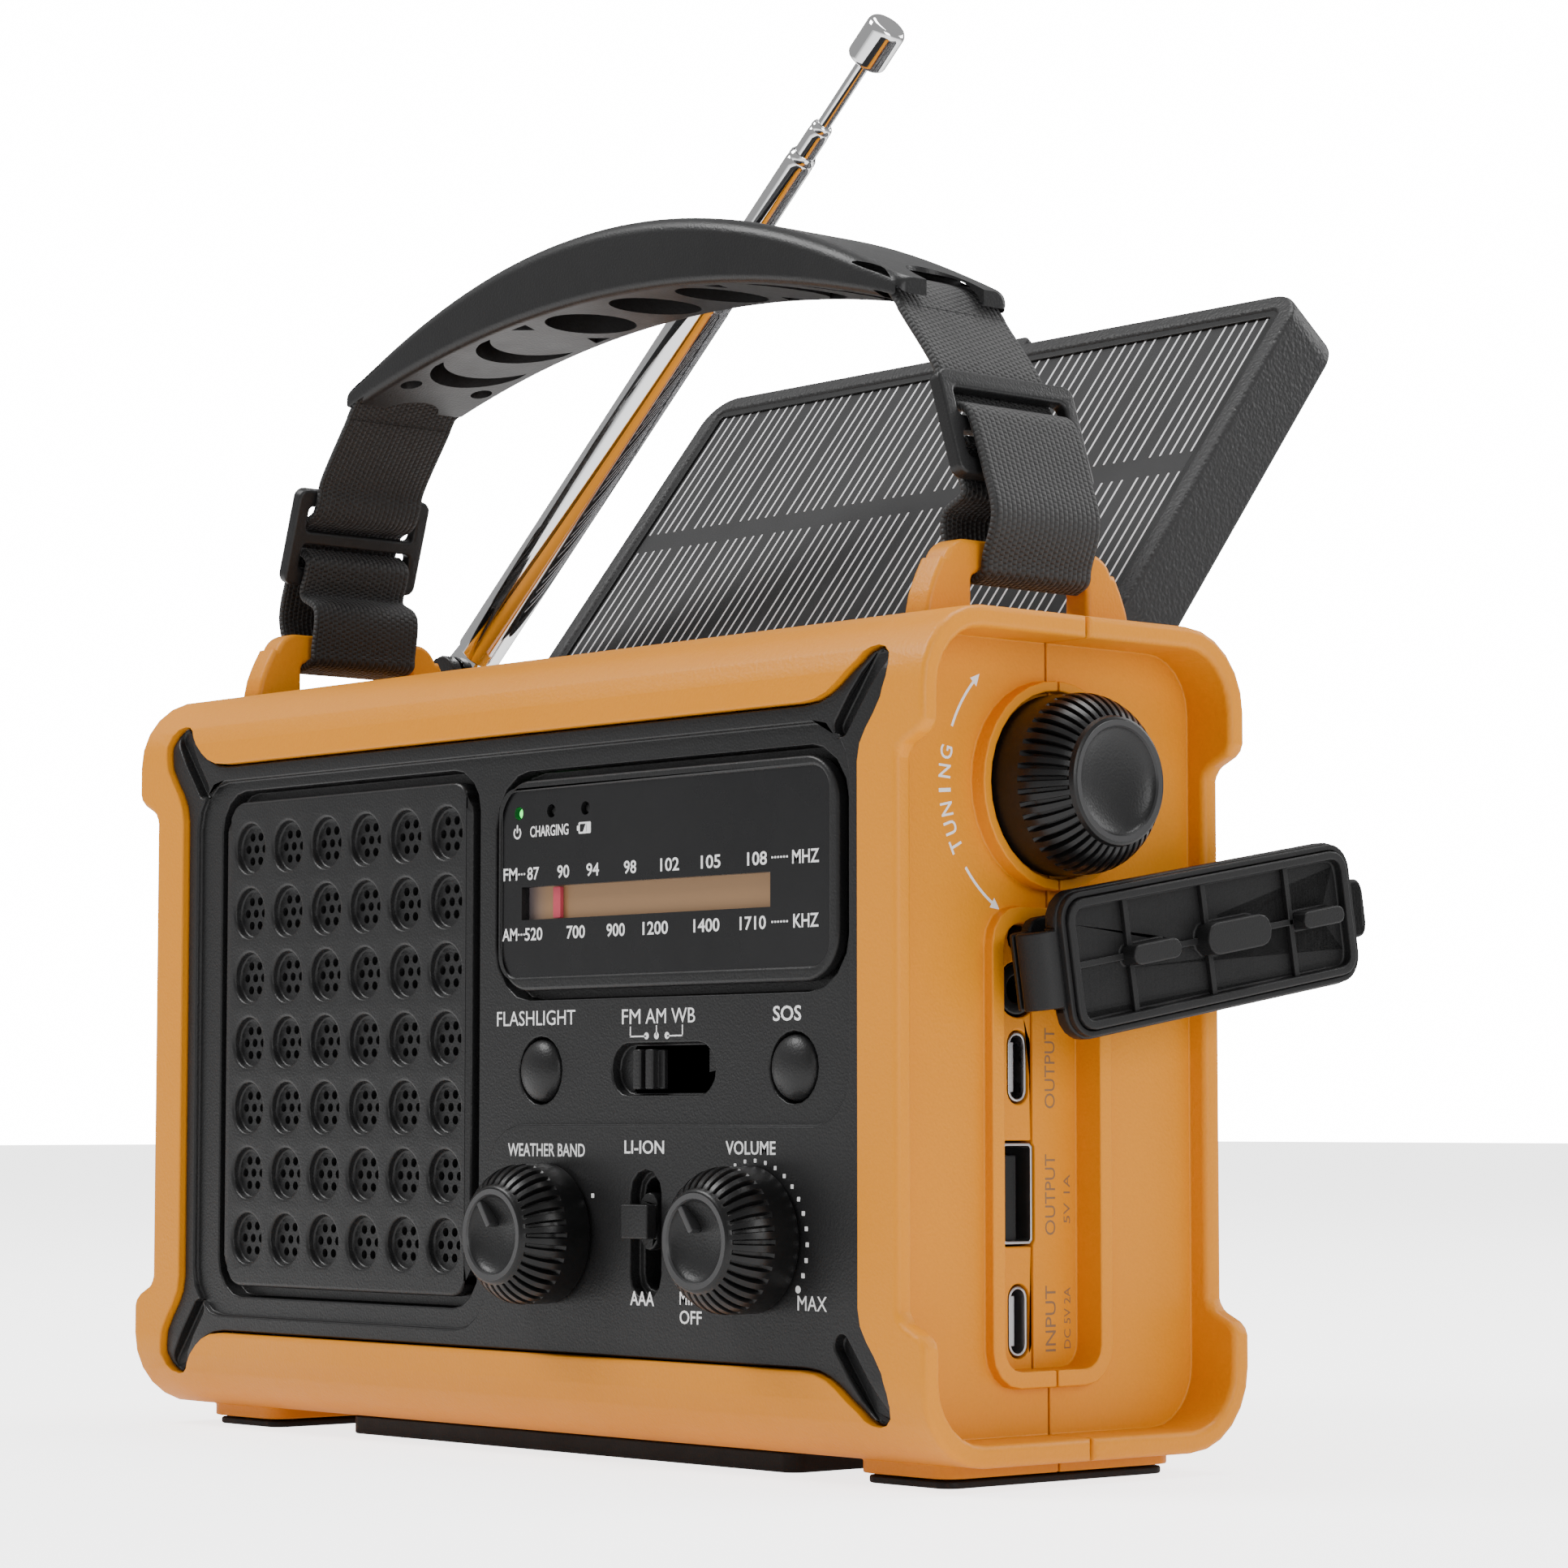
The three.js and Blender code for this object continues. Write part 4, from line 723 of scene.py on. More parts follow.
def finish_tree(tree, start, end, instances, weld):
    realize = node(tree, "GeometryNodeRealizeInstances")
    merge = node(tree, "GeometryNodeMergeByDistance")
    merge.inputs["Distance"].default_value = weld
    paint = node(tree, "GeometryNodeSetMaterial")
    tree.links.new(instances, realize.inputs[0])
    tree.links.new(realize.outputs[0], merge.inputs["Geometry"])
    tree.links.new(merge.outputs[0], paint.inputs["Geometry"])
    tree.links.new(start.outputs["Material"], paint.inputs["Material"])
    tree.links.new(paint.outputs[0], end.inputs["Geometry"])


def rows_and_columns():
    """Repeats its unit on a grid in the X, Z plane, in groups of columns."""
    tree, start, end = geometry_tree("rows and columns", [
        ("Columns", "NodeSocketInt", 6), ("Rows", "NodeSocketInt", 7),
        ("Column Pitch", "NodeSocketFloat", 0.01), ("Row Pitch", "NodeSocketFloat", 0.01),
        ("Group Columns", "NodeSocketInt", 1), ("Group Pitch", "NodeSocketFloat", 0.002),
        ("Material", "NodeSocketMaterial", None),
    ])

    def grid(columns, rows, pitch, rise):
        sheet = node(tree, "GeometryNodeMeshGrid")
        for side, count, gap in (("X", columns, pitch), ("Y", rows, rise)):
            size = math_node(tree, "MULTIPLY", math_node(tree, "SUBTRACT", count, 1), gap)
            tree.links.new(count, sheet.inputs["Vertices " + side])
            tree.links.new(size, sheet.inputs["Size " + side])
        return sheet.outputs[0]

    def line(columns, pitch):
        """A row of points along X, centred."""
        half = math_node(tree, "MULTIPLY", math_node(tree, "SUBTRACT", columns, 1), -0.5)
        first = node(tree, "ShaderNodeCombineXYZ")
        tree.links.new(math_node(tree, "MULTIPLY", half, pitch), first.inputs[0])
        step = node(tree, "ShaderNodeCombineXYZ")
        tree.links.new(pitch, step.inputs[0])
        points = node(tree, "GeometryNodeMeshLine", mode="OFFSET")
        tree.links.new(columns, points.inputs["Count"])
        tree.links.new(first.outputs[0], points.inputs["Start Location"])
        tree.links.new(step.outputs[0], points.inputs["Offset"])
        return points.outputs[0]

    inner = node(tree, "GeometryNodeInstanceOnPoints")
    group = line(start.outputs["Group Columns"], start.outputs["Group Pitch"])
    tree.links.new(group, inner.inputs["Points"])
    tree.links.new(start.outputs["Unit"], inner.inputs["Instance"])
    sheet = grid(start.outputs["Columns"], start.outputs["Rows"],
                 start.outputs["Column Pitch"], start.outputs["Row Pitch"])
    stand = node(tree, "GeometryNodeTransform")
    stand.inputs["Rotation"].default_value = (math.pi / 2, 0, 0)
    tree.links.new(sheet, stand.inputs["Geometry"])
    outer = node(tree, "GeometryNodeInstanceOnPoints")
    tree.links.new(stand.outputs[0], outer.inputs["Points"])
    tree.links.new(inner.outputs[0], outer.inputs["Instance"])
    finish_tree(tree, start, end, outer.outputs[0], 2e-7)
    return tree


def around_an_axis():
    """Repeats its unit round the local Z axis."""
    tree, start, end = geometry_tree("around an axis", [
        ("Count", "NodeSocketInt", 24), ("Material", "NodeSocketMaterial", None),
    ])
    points = node(tree, "GeometryNodeMeshLine", mode="OFFSET")
    points.inputs["Offset"].default_value = (0, 0, 0)
    tree.links.new(start.outputs["Count"], points.inputs["Count"])
    index = node(tree, "GeometryNodeInputIndex")
    step = math_node(tree, "DIVIDE", 2 * math.pi, start.outputs["Count"])
    turn = node(tree, "ShaderNodeCombineXYZ")
    tree.links.new(math_node(tree, "MULTIPLY", index.outputs[0], step), turn.inputs[2])
    spread = node(tree, "GeometryNodeInstanceOnPoints")
    tree.links.new(points.outputs[0], spread.inputs["Points"])
    tree.links.new(start.outputs["Unit"], spread.inputs["Instance"])
    tree.links.new(turn.outputs[0], spread.inputs["Rotation"])
    finish_tree(tree, start, end, spread.outputs[0], 2e-7)
    return tree


ON_A_GRID = rows_and_columns()
ROUND_AN_AXIS = around_an_axis()


def repeated(name, unit, tree, look, matrix, **values):
    """The unit repeated by a node tree, as a plain mesh moved into place."""
    obj = bpy.data.objects.new(name, mesh_of(name, unit))
    bpy.context.scene.collection.objects.link(obj)
    maker = obj.modifiers.new("repeat", "NODES")
    maker.node_group = tree
    values = {key.replace("_", " "): value for key, value in values.items()}
    values["Material"] = LOOK[look]
    for item in tree.interface.items_tree:
        if item.item_type == "SOCKET" and item.in_out == "INPUT" and item.name in values:
            maker[item.identifier] = values[item.name]
    mesh = evaluated(obj)
    bpy.data.objects.remove(obj)
    mesh.transform(Matrix.Scale(MM, 4) @ matrix @ Matrix.Scale(1 / MM, 4))
    with Edited(mesh) as bm:
        bmesh.ops.remove_doubles(bm, verts=bm.verts, dist=WELD)
    return mesh


# ---------------------------------------------------------------- case


def case_shells():
    rim_round, seam_round, crease = 0.95, 0.25, 34

    def on_rim(edge):
        return all(abs(v.co.x) > (RIM_X - 0.05) * MM for v in edge.verts)

    for name in ("front_shell", "rear_shell"):
        mesh = rounded_copy(name, rim_round, chosen=on_rim, steps=3)
        with Edited(mesh) as bm:
            rest = [e for e in bm.edges if is_sharp(e, crease) and not on_rim(e)]
            round_edges(bm, rest, seam_round, 2)
        piece(name + "_skin", mesh, "orange_plastic", "case", [name], 36)


def strap_lugs():
    top = CASE_TOP
    outline = (
        [(-18.5, top - 2.7), (19.5, top - 2.7), (19.5, top + 0.4)]
        + smooth_path([(19.0, top + 2.6), (18.0, top + 5.0), (16.6, top + 7.6)], 4)
        + arc(12.2, top + 6.2, 4, 20, 90, 8)
        + arc(-11.2, top + 6.2, 4, 90, 160, 8)
        + smooth_path([(-15.6, top + 7.6), (-17.0, top + 5.0), (-18.0, top + 2.6)], 4)
        + [(-18.5, top + 0.4)]
    )
    slot = rounded(HANDLE_Y - 10.8, HANDLE_Y + 10.8, top + 0.6, top + 5.8, 1.2, 6)
    for name in ("strap_lug_left", "strap_lug_right"):
        low, high = span(name)
        plate = along("X", outline, low[0], high[0], 0.8, [slot], 4)
        piece(name + "_skin", plate, "orange_plastic", "case", [name], 40)


def feet():
    for name in ("foot_left", "foot_right", "base_pad"):
        low, high = span(name)
        pad = along("Z", rounded(low[0], high[0], low[1], high[1], 2.4), low[2], high[2], 0.3)
        piece(name + "_skin", pad, "black_rubber", "case", [name])


def pill(a, b, r, low, high):
    """A round-ended cutter from a to b, seen from the front."""
    heading = math.degrees(math.atan2(b[1] - a[1], b[0] - a[0]))
    outline = arc(*b, r, heading - 90, heading + 90, 10) + arc(*a, r, heading + 90, heading + 270, 10)
    return along("Y", outline, low, high)


def front_panel():
    cutters = []
    for sx in (-1, 1):
        for mid, sz in ((CASE_TOP, 1), (3.0, -1)):
            a = (sx * 72.6, mid - sz * 15.2)
            b = (sx * 79.0, mid - sz * 6.9)
            cutters.append(pill(a, b, 1.35, -33.0, -27.3))
    from_solid("front_panel", 0.28, "charcoal_plastic", 38, cutters=cutters, angle=34)


def grille():
    """A tray of round wells, seven small holes through the floor of each."""
    columns, rows, pitch, wells = 6, 7, 9.78, 3.75
    face, depth, floor = GRILLE_LOW[1], 1.3, 1.2
    half = pitch / 2
    rim = circle(0, 0, wells + 0.5, 40)
    levels = [(wells + 0.5, 0.0), (wells + 0.22, 0.06), (wells + 0.06, 0.22), (wells, 0.45),
              (wells, depth - 0.3), (wells - 0.1, depth - 0.1), (wells - 0.3, depth)]
    holes = [circle(0, 0, 0.66, 12)]
    holes += [circle(*p, 0.66, 12) for p in circle(0, 0, 2.1, 6)]

    def sheet(outline, openings, level):
        rings = [[Vector((x, y, 0)) for x, y in ring] for ring in [outline] + openings]
        points = [p for ring in rings for p in ring]
        faces = [list(t) for t in tessellate_polygon(rings)]
        return [(p.x, level, p.y) for p in points], faces

    def tube(rings):
        verts, faces = [], []
        n = len(rings[0][0])
        for ring, level in rings:
            verts += [(x, level, y) for x, y in ring]
        for k in range(len(rings) - 1):
            for i in range(n):
                a, b = k * n + i, k * n + (i + 1) % n
                faces.append([a, b, b + n, a + n])
        return verts, faces

    side = [(-half, -half), (0, -half), (half, -half), (half, 0),
            (half, half), (0, half), (-half, half), (-half, 0)]
    unit = combined(
        sheet(side, [rim], 0.0),
        tube([(circle(0, 0, r, 40), level) for r, level in levels]),
        sheet(circle(0, 0, levels[-1][0], 40), holes, depth),
        *[tube([(hole, depth), (hole, depth + floor)]) for hole in holes],
    )
    middle = [(a + b) / 2 for a, b in zip(GRILLE_LOW, GRILLE_HIGH)]
    place = Matrix.Translation((middle[0], face, middle[2]))
    mesh = repeated("speaker_wells", unit, ON_A_GRID, "charcoal_plastic", place,
                    Columns=columns, Rows=rows, Column_Pitch=pitch * MM, Row_Pitch=pitch * MM)
    facing_front(mesh)
    piece("speaker_wells", mesh, "charcoal_plastic", "case", (), 40)
    opening = box_outline(middle[0] - columns / 2 * pitch, middle[0] + columns / 2 * pitch,
                          middle[2] - rows / 2 * pitch, middle[2] + rows / 2 * pitch)
    outer = rounded(GRILLE_LOW[0], GRILLE_HIGH[0], GRILLE_LOW[2], GRILLE_HIGH[2], 4.5, 10)
    edge = slab_with_square_hole(outer, opening, face, GRILLE_HIGH[1])
    piece("speaker_grille_skin", edge, "charcoal_plastic", "case", ["speaker_grille"], 35)
    from_solid("speaker_driver", 0.2, "black_plastic", 40)


def slab_with_square_hole(outer, opening, low, high):
    """A frame whose outer edge is rounded and whose square hole stays sharp."""
    body = along("Y", outer, low, high, 0.55, [opening], 4)
    verts = list(body[0])
    x0, x1 = opening[0][0], opening[1][0]
    z0, z1 = opening[0][1], opening[2][1]
    result = []
    for x, y, z in verts:
        if x0 - 1.0 < x < x1 + 1.0 and z0 - 1.0 < z < z1 + 1.0:
            x = x0 if abs(x - x0) < 1.0 else x1 if abs(x - x1) < 1.0 else x
            z = z0 if abs(z - z0) < 1.0 else z1 if abs(z - z1) < 1.0 else z
        result.append((x, y, z))
    return result, body[1]


def facing_front(mesh):
    """Turns an open sheet so that its flat top faces -Y."""
    with Edited(mesh) as bm:
        bmesh.ops.recalc_face_normals(bm, faces=bm.faces)
        top = min(bm.faces, key=lambda f: f.calc_center_median().y)
        if top.normal.y > 0:
            bmesh.ops.reverse_faces(bm, faces=bm.faces)


# ---------------------------------------------------------------- dial and controls


def dial():
    low, high = DIAL_LOW, DIAL_HIGH
    window = box_outline(5.75, 58.25, 74.6, 79.2)
    inner = rounded(low[0] + 0.6, high[0] - 2.0, low[2] + 2.0, high[2] - 1.5, 3.2)
    lamps = [(5.0, 89.6), (12.3, 89.6), (19.8, 89.6)]
    outer = rounded(low[0], high[0], low[2], high[2], 6.5, 12)
    block = along("Y", outer, low[1], low[1] + 2.0, 0.5, [inner], 4)
    piece("dial_block", block, "charcoal_plastic", "case", (), 35)
    holes = [window] + [circle(x, z, 0.95, 20) for x, z in lamps]
    field = along("Y", grown(inner, 0.3), low[1] + 0.3, low[1] + 1.6, 0.0, holes)
    piece("dial_lens_skin", field, "dial_window", "case", ["dial_lens"], 35)
    for i, (x, z) in enumerate(lamps):
        bead = [(0, 0.75), (0.5, 0.82), (0.85, 1.2), (0.85, 2.2), (0, 2.2)]
        dome = turned("Y", [(r, low[1] + h) for r, h in bead], (x, 0, z), 20)
        piece("lamp_%d" % (i + 1), dome, "power_light" if i == 0 else "black_plastic", "case")
    strip = rounded(4.9, 59.1, 74.1, 79.7, 0.2, 2)
    card = along("Y", strip, low[1] + 1.75, span("dial_scale")[1][1], 0.05)
    piece("dial_card", card, "scale_card", "case", ["dial_scale"])
    left, right = span("dial_pointer")
    blade = rounded(left[0], right[0], left[2], right[2], 0.2, 3)
    piece("dial_blade", along("Y", blade, left[1], low[1] + 1.65, 0.08), "pointer_red",
          body_of("dial_pointer"), ["dial_pointer"])


def push_buttons():
    for name in ("light_button", "sos_button"):
        low, high = span(name)
        centre = ((low[0] + high[0]) / 2, 0, (low[2] + high[2]) / 2)
        r = (high[0] - low[0]) / 2
        top = low[1]
        dome = [(r * math.sin(t) * 0.97, top + 2.0 * (1 - math.cos(t))) for t in
                [math.pi / 2 * i / 10 for i in range(10)]]
        profile = dome + [(r, top + 2.3), (r, high[1]), (0, high[1])]
        cap = turned("Y", profile, centre)
        piece(name + "_skin", cap, "charcoal_plastic", body_of(name), [name], 50)


def sliders():
    from_solid("band_slider", 0.22, "charcoal_plastic")
    from_solid("battery_slider", 0.3, "charcoal_plastic")


def fluted_unit(profile, flutes):
    """One sector of a knob: (radius, height, groove depth) points, grooved in the middle."""
    verts, faces = [], []
    turn = 2 * math.pi / flutes
    walls = [(0.0, 0.0), (0.13, 0.0), (0.25, 0.0), (0.29, 0.2), (0.36, 1.0), (0.5, 1.0)]
    walls += [(1 - t, groove) for t, groove in walls[-2::-1]]
    for r, h, depth in profile:
        for t, groove in walls:
            radius = max(r - depth * groove, 0.0)
            a = turn * (t - 0.5)
            verts.append((radius * math.cos(a), radius * math.sin(a), h))
    row = len(walls)
    for k in range(len(profile) - 1):
        for i in range(row - 1):
            side = [k * row + i, k * row + i + 1, (k + 1) * row + i + 1, (k + 1) * row + i]
            faces.append(side)
    return verts, faces


def knob_profile(radius, face, height, depth, low=0.45, high=0.93):
    """Skirt, fluted taper and rim, from the panel outwards; the dish is a piece of its own."""
    points = [(radius - 0.35, 0.3, 0), (radius, 0.65, 0), (radius, height * (low - 0.02), 0)]
    for i in range(13):
        t = i / 12
        swell = math.cos(t * math.pi / 2) ** 0.8
        r = face + 0.55 + (radius - face - 0.55) * swell
        h = height * (low + (high - low) * t ** 0.9)
        ramp = min(1.0, t / 0.12) * min(1.0, (1 - t) / 0.1)
        points.append((r, h, depth * ramp))
    points += [(face + 0.35, height - 0.22, 0), (face, height, 0), (face - 0.5, height, 0),
               (face - 0.55, height - 2.7, 0)]
    return points


def knob(name, axis_matrix, radius, face, height, flutes, depth, mark):
    """A fluted knob with a dished face, drawn along local Z from its panel."""
    skirt = repeated(name + "_flutes", fluted_unit(knob_profile(radius, face, height, depth), flutes),
                     ROUND_AN_AXIS, "black_plastic", axis_matrix, Count=flutes)
    with Edited(skirt) as bm:
        ends = [e for e in bm.edges if e.is_boundary]
        bmesh.ops.holes_fill(bm, edges=ends, sides=0)
        bmesh.ops.recalc_face_normals(bm, faces=bm.faces)
    body = body_of(name)
    piece(name + "_skin", skirt, "black_plastic", body, [name], 38)
    rim = [(face - 0.95, height - 0.3), (face - 0.8, height + 0.02),
           (face - 0.1, height + 0.05), (face + 0.1, height - 0.3)]
    ring = bar([((0, 0, 0), (math.cos(a), math.sin(a), 0), (0, 0, 1))
                for a in [2 * math.pi * i / 72 for i in range(72)]], rim[::-1], closed=True)
    # The rim ring's lighter grey is a painted highlight on the knob's lip.
    piece(name + "_rim", placed(ring, axis_matrix), "rim_highlight_and_mark_grey", body, (), 40)
    deep = 1.9
    bowl = [((face - 0.85) * math.sin(t), height - deep * math.cos(t) ** 0.9)
            for t in [math.pi / 2 * i / 14 for i in range(14)]]
    bowl += [(face - 0.8, height - 0.02), (face - 0.8, height - 2.6), (0, height - 2.6)]
    dish = turned("Z", [(0.0 if i == 0 else r, h) for i, (r, h) in enumerate(bowl)], (0, 0, 0), 72)
    piece(name + "_dish", placed(dish, axis_matrix), "charcoal_plastic", body, (), 45)
    if mark:
        blade = slab(rounded(-0.45, 0.45, 1.4, face - 0.9, 0.3, 4), height - 1.9, height - 0.15, 0.15)
        turn = Matrix.Rotation(math.radians(35), 4, "Z")
        piece(name + "_mark", placed(blade, axis_matrix @ turn), "rim_highlight_and_mark_grey", body)


FRONT_AXIS, RIGHT_AXIS = AXES["Y"], AXES["X"]


def knobs():
    for name in ("weather_knob", "volume_knob"):
        low, high = span(name)
        centre = ((low[0] + high[0]) / 2, PANEL_Y, (low[2] + high[2]) / 2)
        place = Matrix.Translation(centre) @ FRONT_AXIS
        knob(name, place, 9.6, 6.3, 10.25, 34, 0.95, True)
    low, high = span("tuning_knob")
    place = Matrix.Translation((low[0] - 0.3, 0, (low[2] + high[2]) / 2)) @ RIGHT_AXIS
    knob("tuning_knob", place, 11.9, 8.0, 12.5, 44, 1.0, False)


# ---------------------------------------------------------------- ports and cover


def ports():
    for name in ("usb_c_output", "usb_a_output", "usb_c_input"):
        from_solid(name, 0.12, "steel", 35)
    low, high = span("headphone_jack")
    centre = (0, (low[1] + high[1]) / 2, (low[2] + high[2]) / 2)
    bottom = low[0] + 1
    profile = eased([(3.4, low[0]), (3.4, high[0]), (1.8, high[0]), (1.8, bottom), (0, bottom)], 0.3)
    piece("headphone_jack_skin", turned("X", [(0, low[0])] + profile, centre, 48),
          "black_plastic", "case", ["headphone_jack"], 35)
    tongue = along("X", rounded(-3.6, -1.4, 48.0, 59.4, 0.2, 2), 68.0, 76.4, 0.1)
    place = Matrix.Translation((0, 0, span("usb_a_output")[0][2] - 47.8))
    piece("usb_a_tongue", placed(tongue, place), "black_plastic", "case")


COVER = Matrix.Translation((0, -2.5, 70.6)) @ Matrix.Rotation(math.radians(9.5), 4, "X")


def port_cover():
    """The open cover: a plate, its raised rim and ribs, and the plugs that fill the ports."""
    x0 = 89.7
    z0, z1 = 6.2 - 19.4, 6.2
    zc = (z0 + z1) / 2
    face = x0 + 2.0
    outline = rounded(-6.5, 50.5, z0, z1, 4.0)
    parts = [along("X", outline, x0, face, 0.45)]
    parts.append(along("X", grown(outline, -0.3), face - 0.6, face + 0.9, 0.2, [grown(outline, -1.1)]))
    ribs = [rounded(y - 0.45, y + 0.45, z0 + 1.5, z1 - 1.5, 0.2, 2) for y in (6.0, 21.0, 37.5)]
    ribs.append(rounded(-5.0, 49.0, zc - 0.45, zc + 0.45, 0.2, 2))
    parts += [along("X", rib, face - 0.5, face + 0.7, 0.15) for rib in ribs]
    parts.append(along("X", rounded(49.0, 53.4, zc - 4.0, zc + 4.0, 1.4), x0, face, 0.4))
    shape = placed(combined(*parts), COVER)
    piece("port_cover_face", shape, "black_rubber", body_of("port_cover"), (), 38)
    from_solid("port_cover_tether", 0.35, "black_rubber", 50)
    from_solid("port_cover", 0.3, "black_rubber", 50)


# ---------------------------------------------------------------- torch, battery door, crank


def torch():
    low, high = span("torch_lens")
    z = (low[2] + high[2]) / 2
    profile = [(0, low[0]), (4, low[0])]
    for i in range(5):
        r = 4.6 + i * 1.9
        profile += [(r, low[0] + 0.28), (r + 1.3, low[0] + 0.02)]
    profile += [(14.2, low[0]), (14.9, low[0] + 0.3), (14.9, high[0]), (0, high[0])]
    lens = turned("X", profile, (0, 0, z), 72)
    piece("torch_lens_skin", lens, "clear_lens", "case", ["torch_lens"], 24)
    from_solid("torch_reflector", 0.0, "reflector", 40)


def battery_door():
    from_solid("battery_door", 0.35, "orange_plastic")
    low, high = span("battery_door")
    rib = along("Z", rounded(-7.0, 7.0, -0.28, 0.28, 0.2, 3), -0.35, 0.35, 0.18)
    stand = Matrix.Rotation(math.radians(90), 4, "X")
    corner = Matrix.Translation((low[0] - 0.1, 0, high[2] - 8.0))
    place = corner @ Matrix.Rotation(math.radians(90), 4, "Z")
    mesh = repeated("battery_door_grip", placed(rib, stand), ON_A_GRID, "orange_plastic", place,
                    Columns=1, Rows=6, Column_Pitch=0.001, Row_Pitch=0.0017)
    piece("battery_door_grip", mesh, "orange_plastic", body_of("battery_door"))


def crank():
    for name in ("crank_hub", "crank_arm", "crank_grip_post", "antenna_knuckle"):
        look = "steel" if name == "crank_grip_post" else "charcoal_plastic"
        from_solid(name, 0.35, look, 40)
    low, high = span("crank_grip")
    centre_y, centre_z = (low[1] + high[1]) / 2, (low[2] + high[2]) / 2
    length = high[0] - low[0]
    points = [(3.4, 0.0, 0), (4.1, 0.7, 0), (4.25, 2.0, 0)]
    points += [(4.25, 2.3 + (length - 4.6) * i / 8, 0.35) for i in range(9)]
    points += [(4.25, length - 2.0, 0), (4.1, length - 0.7, 0), (3.4, length, 0)]
    points += [(1.95, length, 0), (1.95, 0.0, 0), (3.4, 0.0, 0)]
    place = Matrix.Translation((low[0], centre_y, centre_z)) @ RIGHT_AXIS
    flutes = 16
    mesh = repeated("crank_grip_skin", fluted_unit(points, flutes), ROUND_AN_AXIS,
                    "charcoal_plastic", place, Count=flutes)
    facing_out(mesh)
    piece("crank_grip_skin", mesh, "charcoal_plastic", body_of("crank_grip"), ["crank_grip"], 40)


def case_screws():
    """Two cross-head screws that hold the rear shell."""
    profile = [(0, 0.0), (1.6, 0.0), (2.1, 0.25), (2.2, 0.6), (2.2, 1.4), (0, 1.4)]
    head = turned("Y", profile, (0, 0, 0), 24)
    # The cross recesses are thin black sheets on the steel heads: painted shade in the slots.
    slot = [along("Y", rounded(-1.3, 1.3, -0.28, 0.28, 0.1, 2), -0.02, 0.08),
            along("Y", rounded(-0.28, 0.28, -1.3, 1.3, 0.1, 2), -0.03, 0.08)]
    flip = Matrix.Rotation(math.pi, 4, "Z")
    place = Matrix.Translation((0, CASE_DEPTH + 0.15, 0))
    for name, unit, look, lift in (
        ("case_screws", head, "steel", 0.0),
        ("screw_slot_painted_shade", combined(*slot), "black_plastic", 0.03),
    ):
        height = Matrix.Translation((0, lift, 19.0))
        mesh = repeated(name, placed(unit, flip), ON_A_GRID, look, place @ height,
                        Columns=2, Rows=1, Column_Pitch=0.138, Row_Pitch=0.01)
        piece(name, mesh, look, "case")


# ---------------------------------------------------------------- handle

GRIP_HALF = 63.5
BUCKLE_U = 74.4
BUCKLE_LEAN = math.radians(17.8)
LUG_X = 75.5


def on_buckle(t, h):
    z = CASE_TOP + 25.9
    return (BUCKLE_U + t * math.cos(BUCKLE_LEAN) - h * math.sin(BUCKLE_LEAN),
            z + t * math.sin(BUCKLE_LEAN) + h * math.cos(BUCKLE_LEAN))


def grip_over(x):
    return CASE_TOP + 63.9 - 16.5 * (x / GRIP_HALF) ** 2


def grip_under(x):
    return CASE_TOP + 53.4 - 9.5 * (x / GRIP_HALF) ** 2


